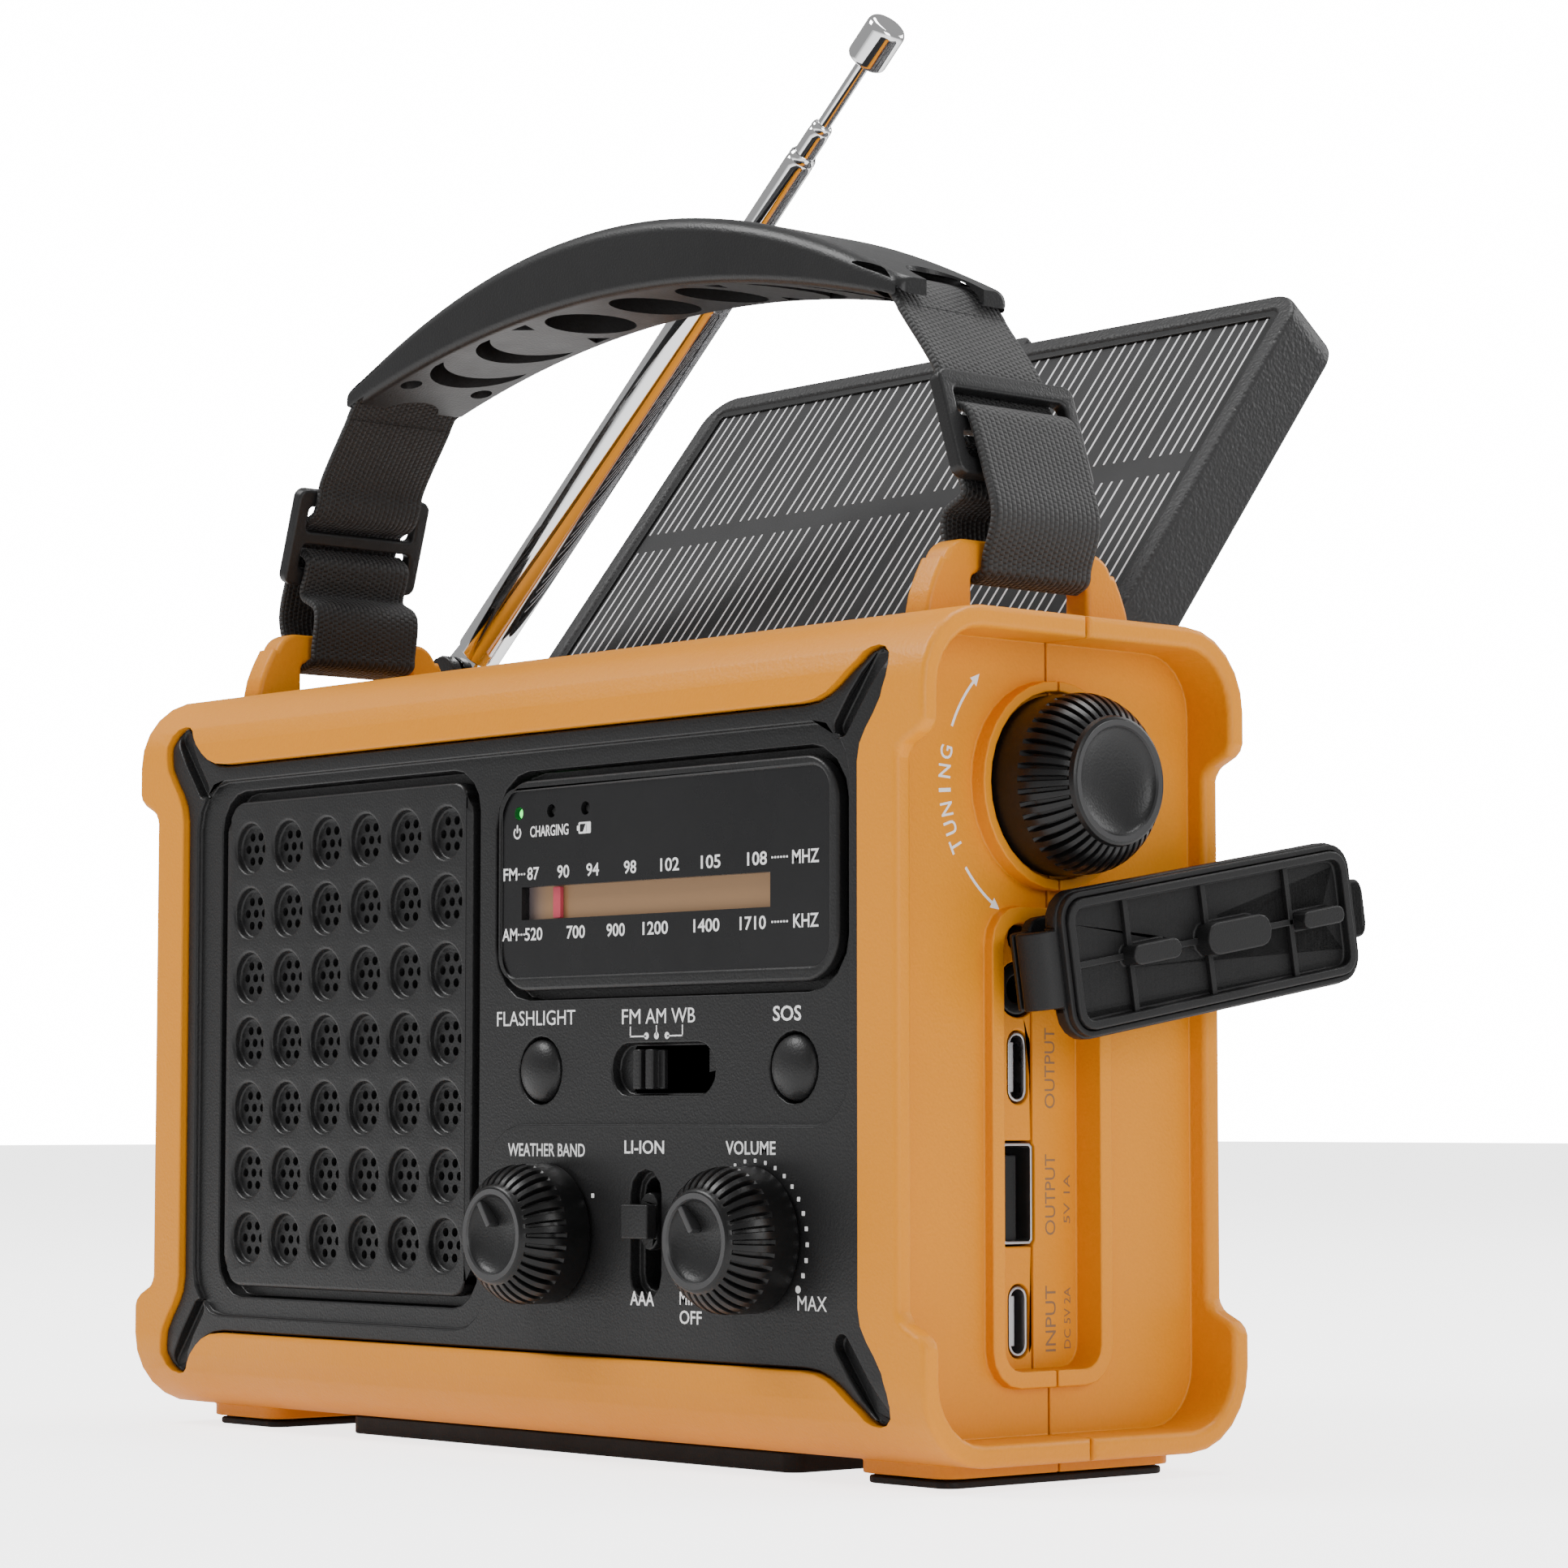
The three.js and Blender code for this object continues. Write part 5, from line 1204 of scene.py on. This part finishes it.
def grip():
    """An arched bar with full, soft edges, thin at its ends, hollowed underneath."""
    stations = 72
    verts, faces = [], []
    for station in range(stations + 1):
        x = GRIP_HALF * math.sin(math.pi * (station / stations - 0.5))
        top, bottom = grip_over(x), grip_under(x)
        tall = top - bottom
        end = max(0.0, abs(x) - (GRIP_HALF - 1.6)) / 1.6
        pinch = 1.0 - math.sqrt(max(0.0, 1.0 - end * end))
        half = 10.45 - 1.6 * pinch
        upper = min(2.3, tall * 0.45)
        lower = min(1.3, tall * 0.3)
        section = (
            arc(half - upper, top - upper, upper, 0, 90, 6)
            + arc(-half + upper, top - upper, upper, 90, 180, 6)
            + arc(-half + lower, bottom + lower, lower, 180, 270, 4)
            + arc(half - lower, bottom + lower, lower, 270, 360, 4)
        )
        ring = len(section)
        verts += [(x, y + HANDLE_Y, z) for y, z in section]
    for k in range(stations):
        for i in range(ring):
            a, b = k * ring + i, k * ring + (i + 1) % ring
            faces.append([a, b, b + ring, a + ring])
    faces.append(list(range(ring))[::-1])
    faces.append([stations * ring + i for i in range(ring)])
    body = mesh_of("grip_body", (verts, faces))
    deep = CASE_TOP + 28
    cutters = []

    def well(outline, roof):
        cutters.append(along("Z", outline, deep, roof))

    for i in (-1, 0, 1):
        oval = [(i * 15 + 5.4 * math.cos(t), HANDLE_Y + 7.7 * math.sin(t))
                for t in [2 * math.pi * k / 36 for k in range(36)]]
        well(oval, grip_over(i * 15) - 4)
    for s in (-1, 1):
        for x in (29.5, 41.0):
            crescent = arc(x, HANDLE_Y, 8.3, -78, 78, 24) + arc(x - 5.6, HANDLE_Y, 9.6, 57, -57, 18)
            well([(s * a, b) for a, b in crescent], grip_under(x + 4) + 2.6)
        for dy in (-6.8, 6.8):
            well(circle(s * (GRIP_HALF - 13), HANDLE_Y + dy, 1.7, 20), grip_under(GRIP_HALF - 13) + 1.8)
        for x, dy in ((22.0, 6.6), (22.0, -6.6)):
            t = 1 if dy > 0 else -1
            corner = [(s * (x - 1.6), HANDLE_Y + dy + t * 1.6), (s * (x + 1.8), HANDLE_Y + dy + t * 1.6),
                      (s * (x + 0.1), HANDLE_Y + dy - t * 1.6)]
            well(corner, grip_under(x) + 2.2)
        notch = [(GRIP_HALF + 1, -5.4), (GRIP_HALF + 1, 5.4)] + arc(GRIP_HALF - 2, 0, 5.4, 90, 270, 20)
        well([(s * a, b + HANDLE_Y) for a, b in notch], CASE_TOP + 80)
        path = [(GRIP_HALF - 9.6, grip_under(GRIP_HALF - 9) + 2.7)] + strap_in_grip()
        path = [(s * a, b) for a, b in path]
        cutters.append(ribbon_cut(path, 3.2, HANDLE_Y - 10.3, HANDLE_Y + 10.3))
    mesh = cut_from(body, cutters)
    with Edited(mesh) as bm:
        bmesh.ops.remove_doubles(bm, verts=bm.verts, dist=1e-6)
        bmesh.ops.dissolve_degenerate(bm, edges=bm.edges, dist=1e-6)
    piece("handle_grip_skin", mesh, "charcoal_plastic", body_of("handle_grip"), ["handle_grip"], 42)


def strap_in_grip():
    h = GRIP_HALF
    points = [(h - 9, grip_under(h - 9) + 2.7), (h - 4.5, grip_under(h - 4.5) + 2.3),
              (h - 1.2, grip_under(h) + 0.2), (h + 0.9, grip_under(h) - 3.2)]
    return smooth_path(points, 5)


def normals_of(path):
    result = []
    for i in range(len(path)):
        a, b = path[max(0, i - 1)], path[min(len(path) - 1, i + 1)]
        d = Vector((b[0] - a[0], b[1] - a[1])).normalized()
        result.append((-d.y, d.x))
    return result


def frames_along(path, y):
    """Frames for a band that follows a path in the X, Z plane, across it along Y."""
    return [((p[0], y, p[1]), (0, 1, 0), (n[0], 0, n[1])) for p, n in zip(path, normals_of(path))]


def ribbon_cut(path, thickness, y0, y1):
    """A band of constant thickness that follows a path in the X, Z plane, as one solid."""
    half = thickness / 2
    return bar(frames_along(path, 0), box_outline(y0, y1, -half, half))


def webbing_band(path, maps):
    """One run of webbing with soft edges, and its map of metres across and along."""
    half, edge, thick = 10.0, 0.62, 0.66
    bend = [(half - edge * (1 - math.cos(a)), thick * math.sin(a)) for a in (0.0, 0.5, 1.0, math.pi / 2)]
    flat = (-6.0, -3.0, 0.0, 3.0, 6.0)
    section = (
        [(-x, -z) for x, z in bend] + [(x, -thick) for x in flat]
        + [(x, -z) for x, z in bend[:0:-1]] + bend + [(x, thick) for x in flat[::-1]]
        + [(-x, z) for x, z in bend[:0:-1]]
    )
    travel, total = [0.0], 0.0
    for a, b in zip(path, path[1:]):
        total += math.dist(a, b)
        travel.append(total)
    shape = bar(frames_along(path, HANDLE_Y), section)
    for k in range(len(path)):
        for across, _ in section:
            maps.append((across * MM, travel[k] * MM))
    return shape


def straps():
    under = CASE_TOP + 5.1
    clear = 3.3
    upper = strap_in_grip()[:-3] + [on_buckle(-2.0, 9.8), on_buckle(-1.9, 6.2), on_buckle(-1.2, 3.6),
                                    on_buckle(1.6, 1.6), on_buckle(2.3, -1.2)]
    outer = [on_buckle(2.5, -7.5), (LUG_X + clear + 1.9, CASE_TOP + 13.5),
             (LUG_X + clear + 0.2, CASE_TOP + 8), (LUG_X + clear - 0.2, under + 0.9),
             (LUG_X + 1.2, under - 0.05)]
    front_run = smooth_path(upper + outer, 6)
    inner = [(LUG_X + 1.5, under - 0.05), (LUG_X - clear + 0.2, under + 0.9),
             (LUG_X - clear - 0.4, CASE_TOP + 8), (LUG_X - clear - 1.0, CASE_TOP + 14),
             on_buckle(-2.3, -9), on_buckle(-2.2, -5.6),
             on_buckle(-1.9, -3.4), on_buckle(0.6, -2.4)]
    back_run = smooth_path(inner, 6)
    for name, s in (("strap_left", -1), ("strap_right", 1)):
        maps = []
        runs = [webbing_band([(s * u, z) for u, z in run], maps) for run in (front_run, back_run)]
        shape = combined(*runs)
        mesh = in_metres(name, shape)
        layer = mesh.uv_layers.new(name="weave_map")
        for loop in mesh.loops:
            layer.data[loop.index].uv = maps[loop.vertex_index]
        facing_out(mesh)
        band = piece(name + "_skin", mesh, "webbing", "case", [name], 50)
        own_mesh(band)


def buckles():
    for name, s in (("buckle_left", -1), ("buckle_right", 1)):
        low, high = span(name)
        y0, y1 = low[1], high[1]
        middle = (y0 + y1) / 2
        plate = rounded(y0 - middle, y1 - middle, -7.7, 7.7, 1.6, 6)
        inner = (y0 - middle + 2.3, y1 - middle - 2.3)
        slots = [rounded(*inner, 1.05, 5.0, 0.8, 4), rounded(*inner, -5.0, -1.05, 0.8, 4)]
        shape = slab(plate, -1.1, 1.1, 0.5, slots, 3)
        up = Vector((-s * math.sin(BUCKLE_LEAN), 0, math.cos(BUCKLE_LEAN)))
        out = Vector((s * math.cos(BUCKLE_LEAN), 0, math.sin(BUCKLE_LEAN)))
        across = up.cross(out)
        turn = Matrix((across, up, out)).transposed().to_4x4()
        place = Matrix.Translation((s * BUCKLE_U, middle, CASE_TOP + 25.9)) @ turn
        piece(name + "_skin", placed(shape, place), "charcoal_plastic", body_of(name), [name], 40)


# ---------------------------------------------------------------- antenna


def antenna():
    """Bright tubes, each end rolled in over the next, and a turned cap."""
    tilt = Matrix.Rotation(math.radians(-41), 4, "Y")
    place = Matrix.Translation((-78, 24.5, 118.0)) @ tilt
    radii = [3.7, 3.15, 2.65, 2.2, 1.7, 1.05]
    ends = [84.0, 89.0, 94.0, 111.5, 117.2, 129.1]
    for i, (r, end) in enumerate(zip(radii, ends)):
        name = "antenna_section_%d" % (i + 1)
        start = 6.5 if i == 0 else end - 76 + 2 * i
        if i < 5:
            lip = radii[i + 1] + 0.08
            rolled = [(r, end - 2.2), (r - 0.05, end - 1.4), (r - 0.16, end - 1.2),
                      (r - 0.02, end - 0.95), (r - 0.08, end - 0.45), (r - 0.28, end - 0.12),
                      (lip + 0.1, end), (lip, end - 0.1), (lip, end - 1.5)]
            profile = [(0, start), (r - 0.25, start), (r, start + 0.3)] + rolled + [(0, end - 1.6)]
        else:
            cap = eased([(r, end), (2.75, end), (3.1, end + 0.5), (3.1, end + 6.3),
                         (2.6, end + 7.0), (0, end + 7.0)], 0.4)
            profile = [(0, start), (r, start), (r, end - 0.4)] + cap
        parts = [turned("X", profile, (0, 0, 0), 48)]
        if i == 0:
            tongue = along("Y", arc(0, 0, 3.7, 90, 270, 16) + [(8.5, -2.7), (8.5, 2.7)], -2.0, 2.0, 0.4)
            parts.append(tongue)
        piece(name + "_skin", placed(combined(*parts), place), "chrome_tube", body_of(name), [name], 40)


# ---------------------------------------------------------------- solar panel

SOLAR = Matrix.Translation((0, 28.5, 110.5)) @ Matrix.Rotation(math.radians(52), 4, "X")


def solar_panel():
    half, s0, s1, n0, n1, bezel = 66.0, 3.0, 70.0, -7.2, 3.4, 3.4
    outline = rounded(-half, half, s0, s1, 6.0, 10)
    opening = rounded(-half + bezel, half - bezel, s0 + bezel, s1 - bezel, 1.6, 6)
    tray = slab(outline, n0, n1, 0.8, [opening], 4)
    back = slab(grown(opening, 0.5), n0 + 0.6, n1 - 1.8)
    step = slab(grown(opening, 0.2), n1 - 2.2, n1 - 0.35, 0.1, [grown(opening, -1.1)])
    latch = slab(rounded(-6, 6, s1 - 1, s1 + 3.2, 1.2, 5), n1 - 5.4, n1 - 1.4, 0.4)
    arms = []
    for x0, x1 in ((-half + 2, -half + 12), (half - 12, half - 2)):
        outline = arc(0, 0, 2.0, 90, 270, 12) + [(s0 + 2, -2.0), (s0 + 2, 2.0)]
        arms.append(along("X", outline, x0, x1, 0.3))
    shape = placed(combined(tray, back, latch, *arms), SOLAR)
    piece("solar_frame_skin", shape, "solar_frame", body_of("solar_frame"), ["solar_frame"], 38)
    piece("solar_inner_step", placed(step, SOLAR), "black_plastic", body_of("solar_frame"))
    glass = slab(grown(opening, -0.3), n1 - 1.5, n1 - 0.75, 0.0)
    cells = body_of("solar_cells")
    piece("solar_cells_skin", placed(glass, SOLAR), "solar_cell", cells, ["solar_cells"])
    line = along("Y", rounded(-0.17, 0.17, -13.7, 13.7, 0.1, 2), -0.02, 0.02)
    lie = Matrix.Rotation(math.radians(-90), 4, "X")
    place = SOLAR @ Matrix.Translation((0, (s0 + s1) / 2, n1 - 0.72)) @ lie
    mesh = repeated("solar_cell_lines", line, ON_A_GRID, "grid_lines", place,
                    Columns=11, Rows=2, Column_Pitch=0.0113, Row_Pitch=0.0314,
                    Group_Columns=5, Group_Pitch=0.00205)
    piece("solar_cell_lines", mesh, "grid_lines", cells)


# ---------------------------------------------------------------- lettering


def letters(text, height, width, bold=0.0):
    """Flat generic lettering, scaled to the given height and width, centred on the origin."""
    curve = bpy.data.curves.new("lettering", "FONT")
    curve.body = text
    curve.size = 1.0
    curve.offset = bold
    curve.extrude = 0.0
    curve.resolution_u = 3
    curve.fill_mode = "FRONT"
    obj = bpy.data.objects.new("lettering", curve)
    bpy.context.scene.collection.objects.link(obj)
    mesh = evaluated(obj)
    xs = [v.co.x for v in mesh.vertices]
    ys = [v.co.y for v in mesh.vertices]
    sx, sy = width / (max(xs) - min(xs)), height / (max(ys) - min(ys))
    cx, cy = (max(xs) + min(xs)) / 2, (max(ys) + min(ys)) / 2
    verts = [((v.co.x - cx) * sx, (v.co.y - cy) * sy, 0.0) for v in mesh.vertices]
    faces = [list(p.vertices) for p in mesh.polygons]
    bpy.data.objects.remove(obj)
    bpy.data.meshes.remove(mesh)
    return raised(verts, faces)


def raised(verts, faces, thickness=0.03):
    """A flat sheet given a slight thickness upwards."""
    bm = bmesh.new()
    points = [bm.verts.new(v) for v in verts]
    for face in faces:
        if len(set(face)) > 2:
            bm.faces.new([points[i] for i in face])
    bmesh.ops.remove_doubles(bm, verts=bm.verts, dist=1e-5)
    bmesh.ops.recalc_face_normals(bm, faces=bm.faces)
    made = bmesh.ops.extrude_face_region(bm, geom=list(bm.faces))
    moved = [g for g in made["geom"] if isinstance(g, bmesh.types.BMVert)]
    bmesh.ops.translate(bm, verts=moved, vec=(0, 0, thickness))
    bmesh.ops.recalc_face_normals(bm, faces=bm.faces)
    bm.verts.index_update()
    result = [tuple(v.co) for v in bm.verts], [[v.index for v in f.verts] for f in bm.faces]
    bm.free()
    return result


def stroke(points, width):
    """A line of constant width through the points, as an outline."""
    normals = normals_of(points)
    left = [(p[0] + n[0] * width / 2, p[1] + n[1] * width / 2) for p, n in zip(points, normals)]
    right = [(p[0] - n[0] * width / 2, p[1] - n[1] * width / 2) for p, n in zip(points, normals)]
    return turning_left(left + right[::-1])


def mark(outline):
    return slab(outline, 0.0, 0.03)


def on_front(shape, x, z, y):
    return placed(shape, Matrix.Translation((x, y + 0.005, z)) @ FRONT_AXIS)


def dial_lettering():
    y = DIAL_LOW[1] + 0.3
    parts = []

    def word(text, x0, x1, z, height, bold=0.012):
        parts.append(on_front(letters(text, height, x1 - x0, bold), (x0 + x1) / 2, z, y))

    word("CHARGING", 7.6, 16.1, 86.9, 1.55)
    word("FM", 1.6, 4.7, 81.1, 1.75)
    word("AM", 1.4, 4.75, 72.65, 1.75)
    upper = (("87", 7.0, 9.6), ("90", 13.7, 16.3), ("94", 20.1, 22.8), ("98", 28.2, 30.8),
             ("102", 35.9, 39.8), ("105", 44.3, 48.3), ("108", 53.7, 57.6))
    lower = (("520", 6.5, 10.4), ("700", 15.8, 19.8), ("900", 24.5, 28.4), ("1200", 32.2, 37.5),
             ("1400", 42.8, 48.1), ("1710", 52.2, 57.4))
    for text, x0, x1 in upper:
        word(text, x0, x1, 81.05, 1.8)
    for text, x0, x1 in lower:
        word(text, x0, x1, 72.6, 1.8)
    word("MHZ", 62.6, 67.8, 80.95, 1.8)
    word("KHZ", 62.8, 67.7, 72.6, 1.8)
    dashes = [(58.5 + 0.58 * i, 58.85 + 0.58 * i) for i in range(6)]
    for a, b in dashes + [(4.95 + 0.6 * i, 5.3 + 0.6 * i) for i in range(3)]:
        for z in (81.05, 72.6):
            parts.append(on_front(mark(rounded(a, b, z - 0.13, z + 0.13, 0.05, 2)), 0, 0, y))
    ring = stroke(arc(4.7, 86.85, 0.72, 125, 415, 24), 0.26)
    parts.append(on_front(mark(ring), 0, 0, y))
    parts.append(on_front(mark(rounded(4.57, 4.83, 86.85, 88.0, 0.08, 2)), 0, 0, y))
    battery = rounded(18.35, 21.0, 86.1, 87.7, 0.2, 3)
    window = rounded(18.6, 20.0, 86.35, 87.45, 0.1, 2)
    parts.append(on_front(slab(battery, 0, 0.03, 0, [window]), 0, 0, y))
    parts.append(on_front(mark([(19.3, 86.35), (20.1, 86.35), (20.1, 87.45), (19.9, 87.45)]), 0, 0, y))
    parts.append(on_front(mark(rounded(18.0, 18.35, 86.55, 87.25, 0.08, 2)), 0, 0, y))
    piece("dial_lettering", combined(*parts), "white_print", "case", (), 20)


def control_lettering():
    parts = []

    def word(text, x0, x1, z, height, y, bold):
        parts.append(on_front(letters(text, height, x1 - x0, bold), (x0 + x1) / 2, z, y))

    low = FIELD_Y
    word("FLASHLIGHT", -0.1, 17.4, 60.9, 2.05, low, 0.0)
    word("FM", 27.5, 31.4, 60.75, 2.0, low, 0.0)
    word("AM", 32.5, 36.8, 60.75, 2.0, low, 0.0)
    word("WB", 37.9, 42.8, 60.75, 2.0, low, 0.0)
    word("SOS", 58.5, 64.0, 60.65, 2.0, low, 0.014)
    for points in ([(29.3, 59.4), (29.3, 58.0)], [(29.2, 58.05), (32.7, 58.05)],
                   [(34.8, 59.5), (34.8, 58.1)], [(40.2, 59.5), (40.2, 58.0)],
                   [(40.3, 58.05), (37.0, 58.05)]):
        parts.append(on_front(mark(stroke(points, 0.2)), 0, 0, low))
    for x in (32.7, 34.8, 37.0):
        parts.append(on_front(mark(circle(x, 58.1, 0.48, 16)), 0, 0, low))
    high = PANEL_Y
    word("WEATHER BAND", 3.7, 20.7, 42.65, 1.8, high, 0.012)
    word("LI-ION", 29.2, 37.5, 43.15, 1.8, high, 0.012)
    word("VOLUME", 50.1, 60.0, 43.15, 1.8, high, 0.014)
    word("AAA", 30.5, 35.5, 22.9, 1.9, high, 0.012)
    word("MIN", 40.8, 44.6, 23.2, 1.7, high, 0.008)
    word("OFF", 40.8, 45.3, 20.7, 1.8, high, 0.010)
    word("MAX", 64.3, 69.9, 23.3, 1.9, high, 0.0)
    centre = (55.6, 30.9)
    for i in range(15):
        a = math.radians(121 - i * 11.05)
        x, z = centre[0] + 10.55 * math.cos(a), centre[1] + 10.6 * math.sin(a)
        size = 0.24 + 0.006 * i if i < 14 else 0.5
        if i < 14:
            dot = rounded(x - size, x + size, z - size, z + size, 0.08, 2)
        else:
            dot = circle(x, z, size, 20)
        parts.append(on_front(mark(dot), 0, 0, high))
    for i in range(7):
        a = math.radians(150 - i * 20)
        if 40 < math.degrees(a) < 125:
            continue
        x, z = 13.0 + 10.9 * math.cos(a), 31.2 + 10.6 * math.sin(a)
        parts.append(on_front(mark(rounded(x - 0.3, x + 0.3, z - 0.3, z + 0.3, 0.08, 2)), 0, 0, high))
    piece("control_lettering", combined(*parts), "white_print", "case", (), 20)


def on_side(shape, y, z, x, turn=0.0):
    spin = Matrix.Rotation(math.radians(turn), 4, "Z")
    return placed(shape, Matrix.Translation((x - 0.005, y, z)) @ RIGHT_AXIS @ spin)


def side_lettering():
    """The tuning legend on its arc with an arrow at each end, and the port names beside them."""
    centre, r = (0.0, 90.5), 18.6
    parts = []
    word = "TUNING"
    for i, letter in enumerate(word):
        a = 188.0 - (i - 2.5) * 7.6
        y, z = centre[0] + r * math.cos(math.radians(a)), centre[1] + r * math.sin(math.radians(a))
        width = 0.5 if letter == "I" else 1.75
        parts.append(on_side(letters(letter, 2.1, width, 0.01), y, z, SIDE_X, a - 90))
    for a0, a1, s in ((158.0, 136.0, -1), (217.0, 237.0, 1)):
        line = arc(*centre, r, a0, a1, 14)
        parts.append(on_side(mark(stroke(line, 0.38)), 0, 0, SIDE_X))
        t = math.radians(a1)
        tip = Vector((centre[0] + r * math.cos(t), centre[1] + r * math.sin(t)))
        ahead = Vector((-math.sin(t), math.cos(t))) * s
        side = Vector((math.cos(t), math.sin(t)))
        head = [tip + ahead * 1.6, tip - side * 0.75, tip + side * 0.75]
        parts.append(on_side(mark(turning_left([tuple(p) for p in head])), 0, 0, SIDE_X))
    piece("tuning_lettering", combined(*parts), "white_print", "case", (), 20)
    floor = 78.0
    names = []
    for text, z, width in (("OUTPUT", 53.6, 10.6), ("OUTPUT", 37.0, 10.6), ("INPUT", 20.8, 8.6)):
        names.append(on_side(letters(text, 1.9, width, 0.0), 3.3, z, floor, 90))
    for text, z, width in (("5V 1A", 36.4, 6.4), ("DC 5V 2A", 20.8, 8.0)):
        names.append(on_side(letters(text, 1.2, width, 0.0), 6.4, z, floor, 90))
    # The port names are raised marks whose darker orange is painted shade standing for engraving.
    piece("port_lettering", combined(*names), "engraved_painted_shade", "case", (), 20)


# ---------------------------------------------------------------- inside


def inside():
    looks = {
        "weather_switch": "steel", "volume_control": "steel", "tuning_shaft": "steel",
        "tuning_capacitor": "steel", "crank_gear": "steel", "generator_pinion": "steel",
        "generator": "steel", "solar_hinge_pin": "steel", "main_board": "circuit_board",
        "li_ion_cell": "battery_wrap", "aaa_cell_1": "battery_wrap", "aaa_cell_2": "battery_wrap",
        "aaa_cell_3": "battery_wrap",
    }
    for name, look in looks.items():
        from_solid(name, 0.0, look, 35)


# ---------------------------------------------------------------- studio


def studio():
    floor = bpy.data.meshes.new("floor")
    reach, sky_strength, backdrop_strength = 6.0, 0.42, 16.0
    corners = [(x, y, 0) for x, y in box_outline(-reach, reach, -reach, reach)]
    floor.from_pydata(corners, [], [(0, 1, 2, 3)])
    ground = bpy.data.objects.new("floor", floor)
    bpy.context.scene.collection.objects.link(ground)
    paper = Finish("studio_floor", (0.92, 0.92, 0.92), 0.5)
    paper.set(Emission_Color=(1, 1, 1, 1))
    seen = node(paper.tree, "ShaderNodeLightPath")
    glow = math_node(paper.tree, "MULTIPLY_ADD", seen.outputs["Is Camera Ray"], 2.6, 0.4)
    paper.to(glow, "Emission Strength")
    floor.materials.append(paper.material)
    world = bpy.data.worlds.new("studio")
    bpy.context.scene.world = world
    world.use_nodes = True
    tree = world.node_tree
    sky = tree.nodes["Background"]
    sky.inputs["Color"].default_value = (1.0, 1.0, 1.0, 1)
    sky.inputs["Strength"].default_value = sky_strength
    backdrop = node(tree, "ShaderNodeBackground")
    backdrop.inputs["Color"].default_value = (1.0, 1.0, 1.0, 1)
    backdrop.inputs["Strength"].default_value = backdrop_strength
    rays = node(tree, "ShaderNodeLightPath")
    choose = node(tree, "ShaderNodeMixShader")
    tree.links.new(rays.outputs["Is Camera Ray"], choose.inputs[0])
    tree.links.new(sky.outputs[0], choose.inputs[1])
    tree.links.new(backdrop.outputs[0], choose.inputs[2])
    tree.links.new(choose.outputs[0], tree.nodes["World Output"].inputs["Surface"])
    target = Vector((0, 0, 0.08))
    for name, place, size, power in (
        ("key", (-0.55, -0.60, 1.10), 0.55, 15.0),
        ("right", (1.25, -0.15, 0.45), 0.6, 7.0),
        ("top", (0.10, 0.30, 1.25), 0.6, 12.0),
        ("back", (0.3, 1.2, 0.7), 0.6, 6.0),
    ):
        lamp = bpy.data.lights.new(name, "AREA")
        lamp.shape = "SQUARE"
        lamp.size = size
        lamp.energy = power
        obj = bpy.data.objects.new(name, lamp)
        obj.location = place
        obj.rotation_euler = (target - Vector(place)).to_track_quat("-Z", "Y").to_euler()
        bpy.context.scene.collection.objects.link(obj)


def camera():
    data = bpy.data.cameras.new("camera")
    data.lens = 99.57
    data.sensor_width = 36.0
    data.clip_start = 0.01
    data.clip_end = 50.0
    obj = bpy.data.objects.new("camera", data)
    right = Vector((0.6642, 0.7476, 0.0)).normalized()
    back = Vector((0.7454, -0.6622, -0.0767)).normalized()
    up = back.cross(right).normalized()
    right = up.cross(back)
    turn = Matrix((right, up, back)).transposed().to_4x4()
    obj.matrix_world = Matrix.Translation((0.4832, -0.4035, 0.0471)) @ turn
    bpy.context.scene.collection.objects.link(obj)
    bpy.context.scene.camera = obj


case_shells()
strap_lugs()
feet()
front_panel()
grille()
dial()
push_buttons()
sliders()
knobs()
ports()
port_cover()
torch()
battery_door()
crank()
case_screws()
grip()
straps()
buckles()
antenna()
solar_panel()
dial_lettering()
control_lettering()
side_lettering()
inside()
studio()
camera()
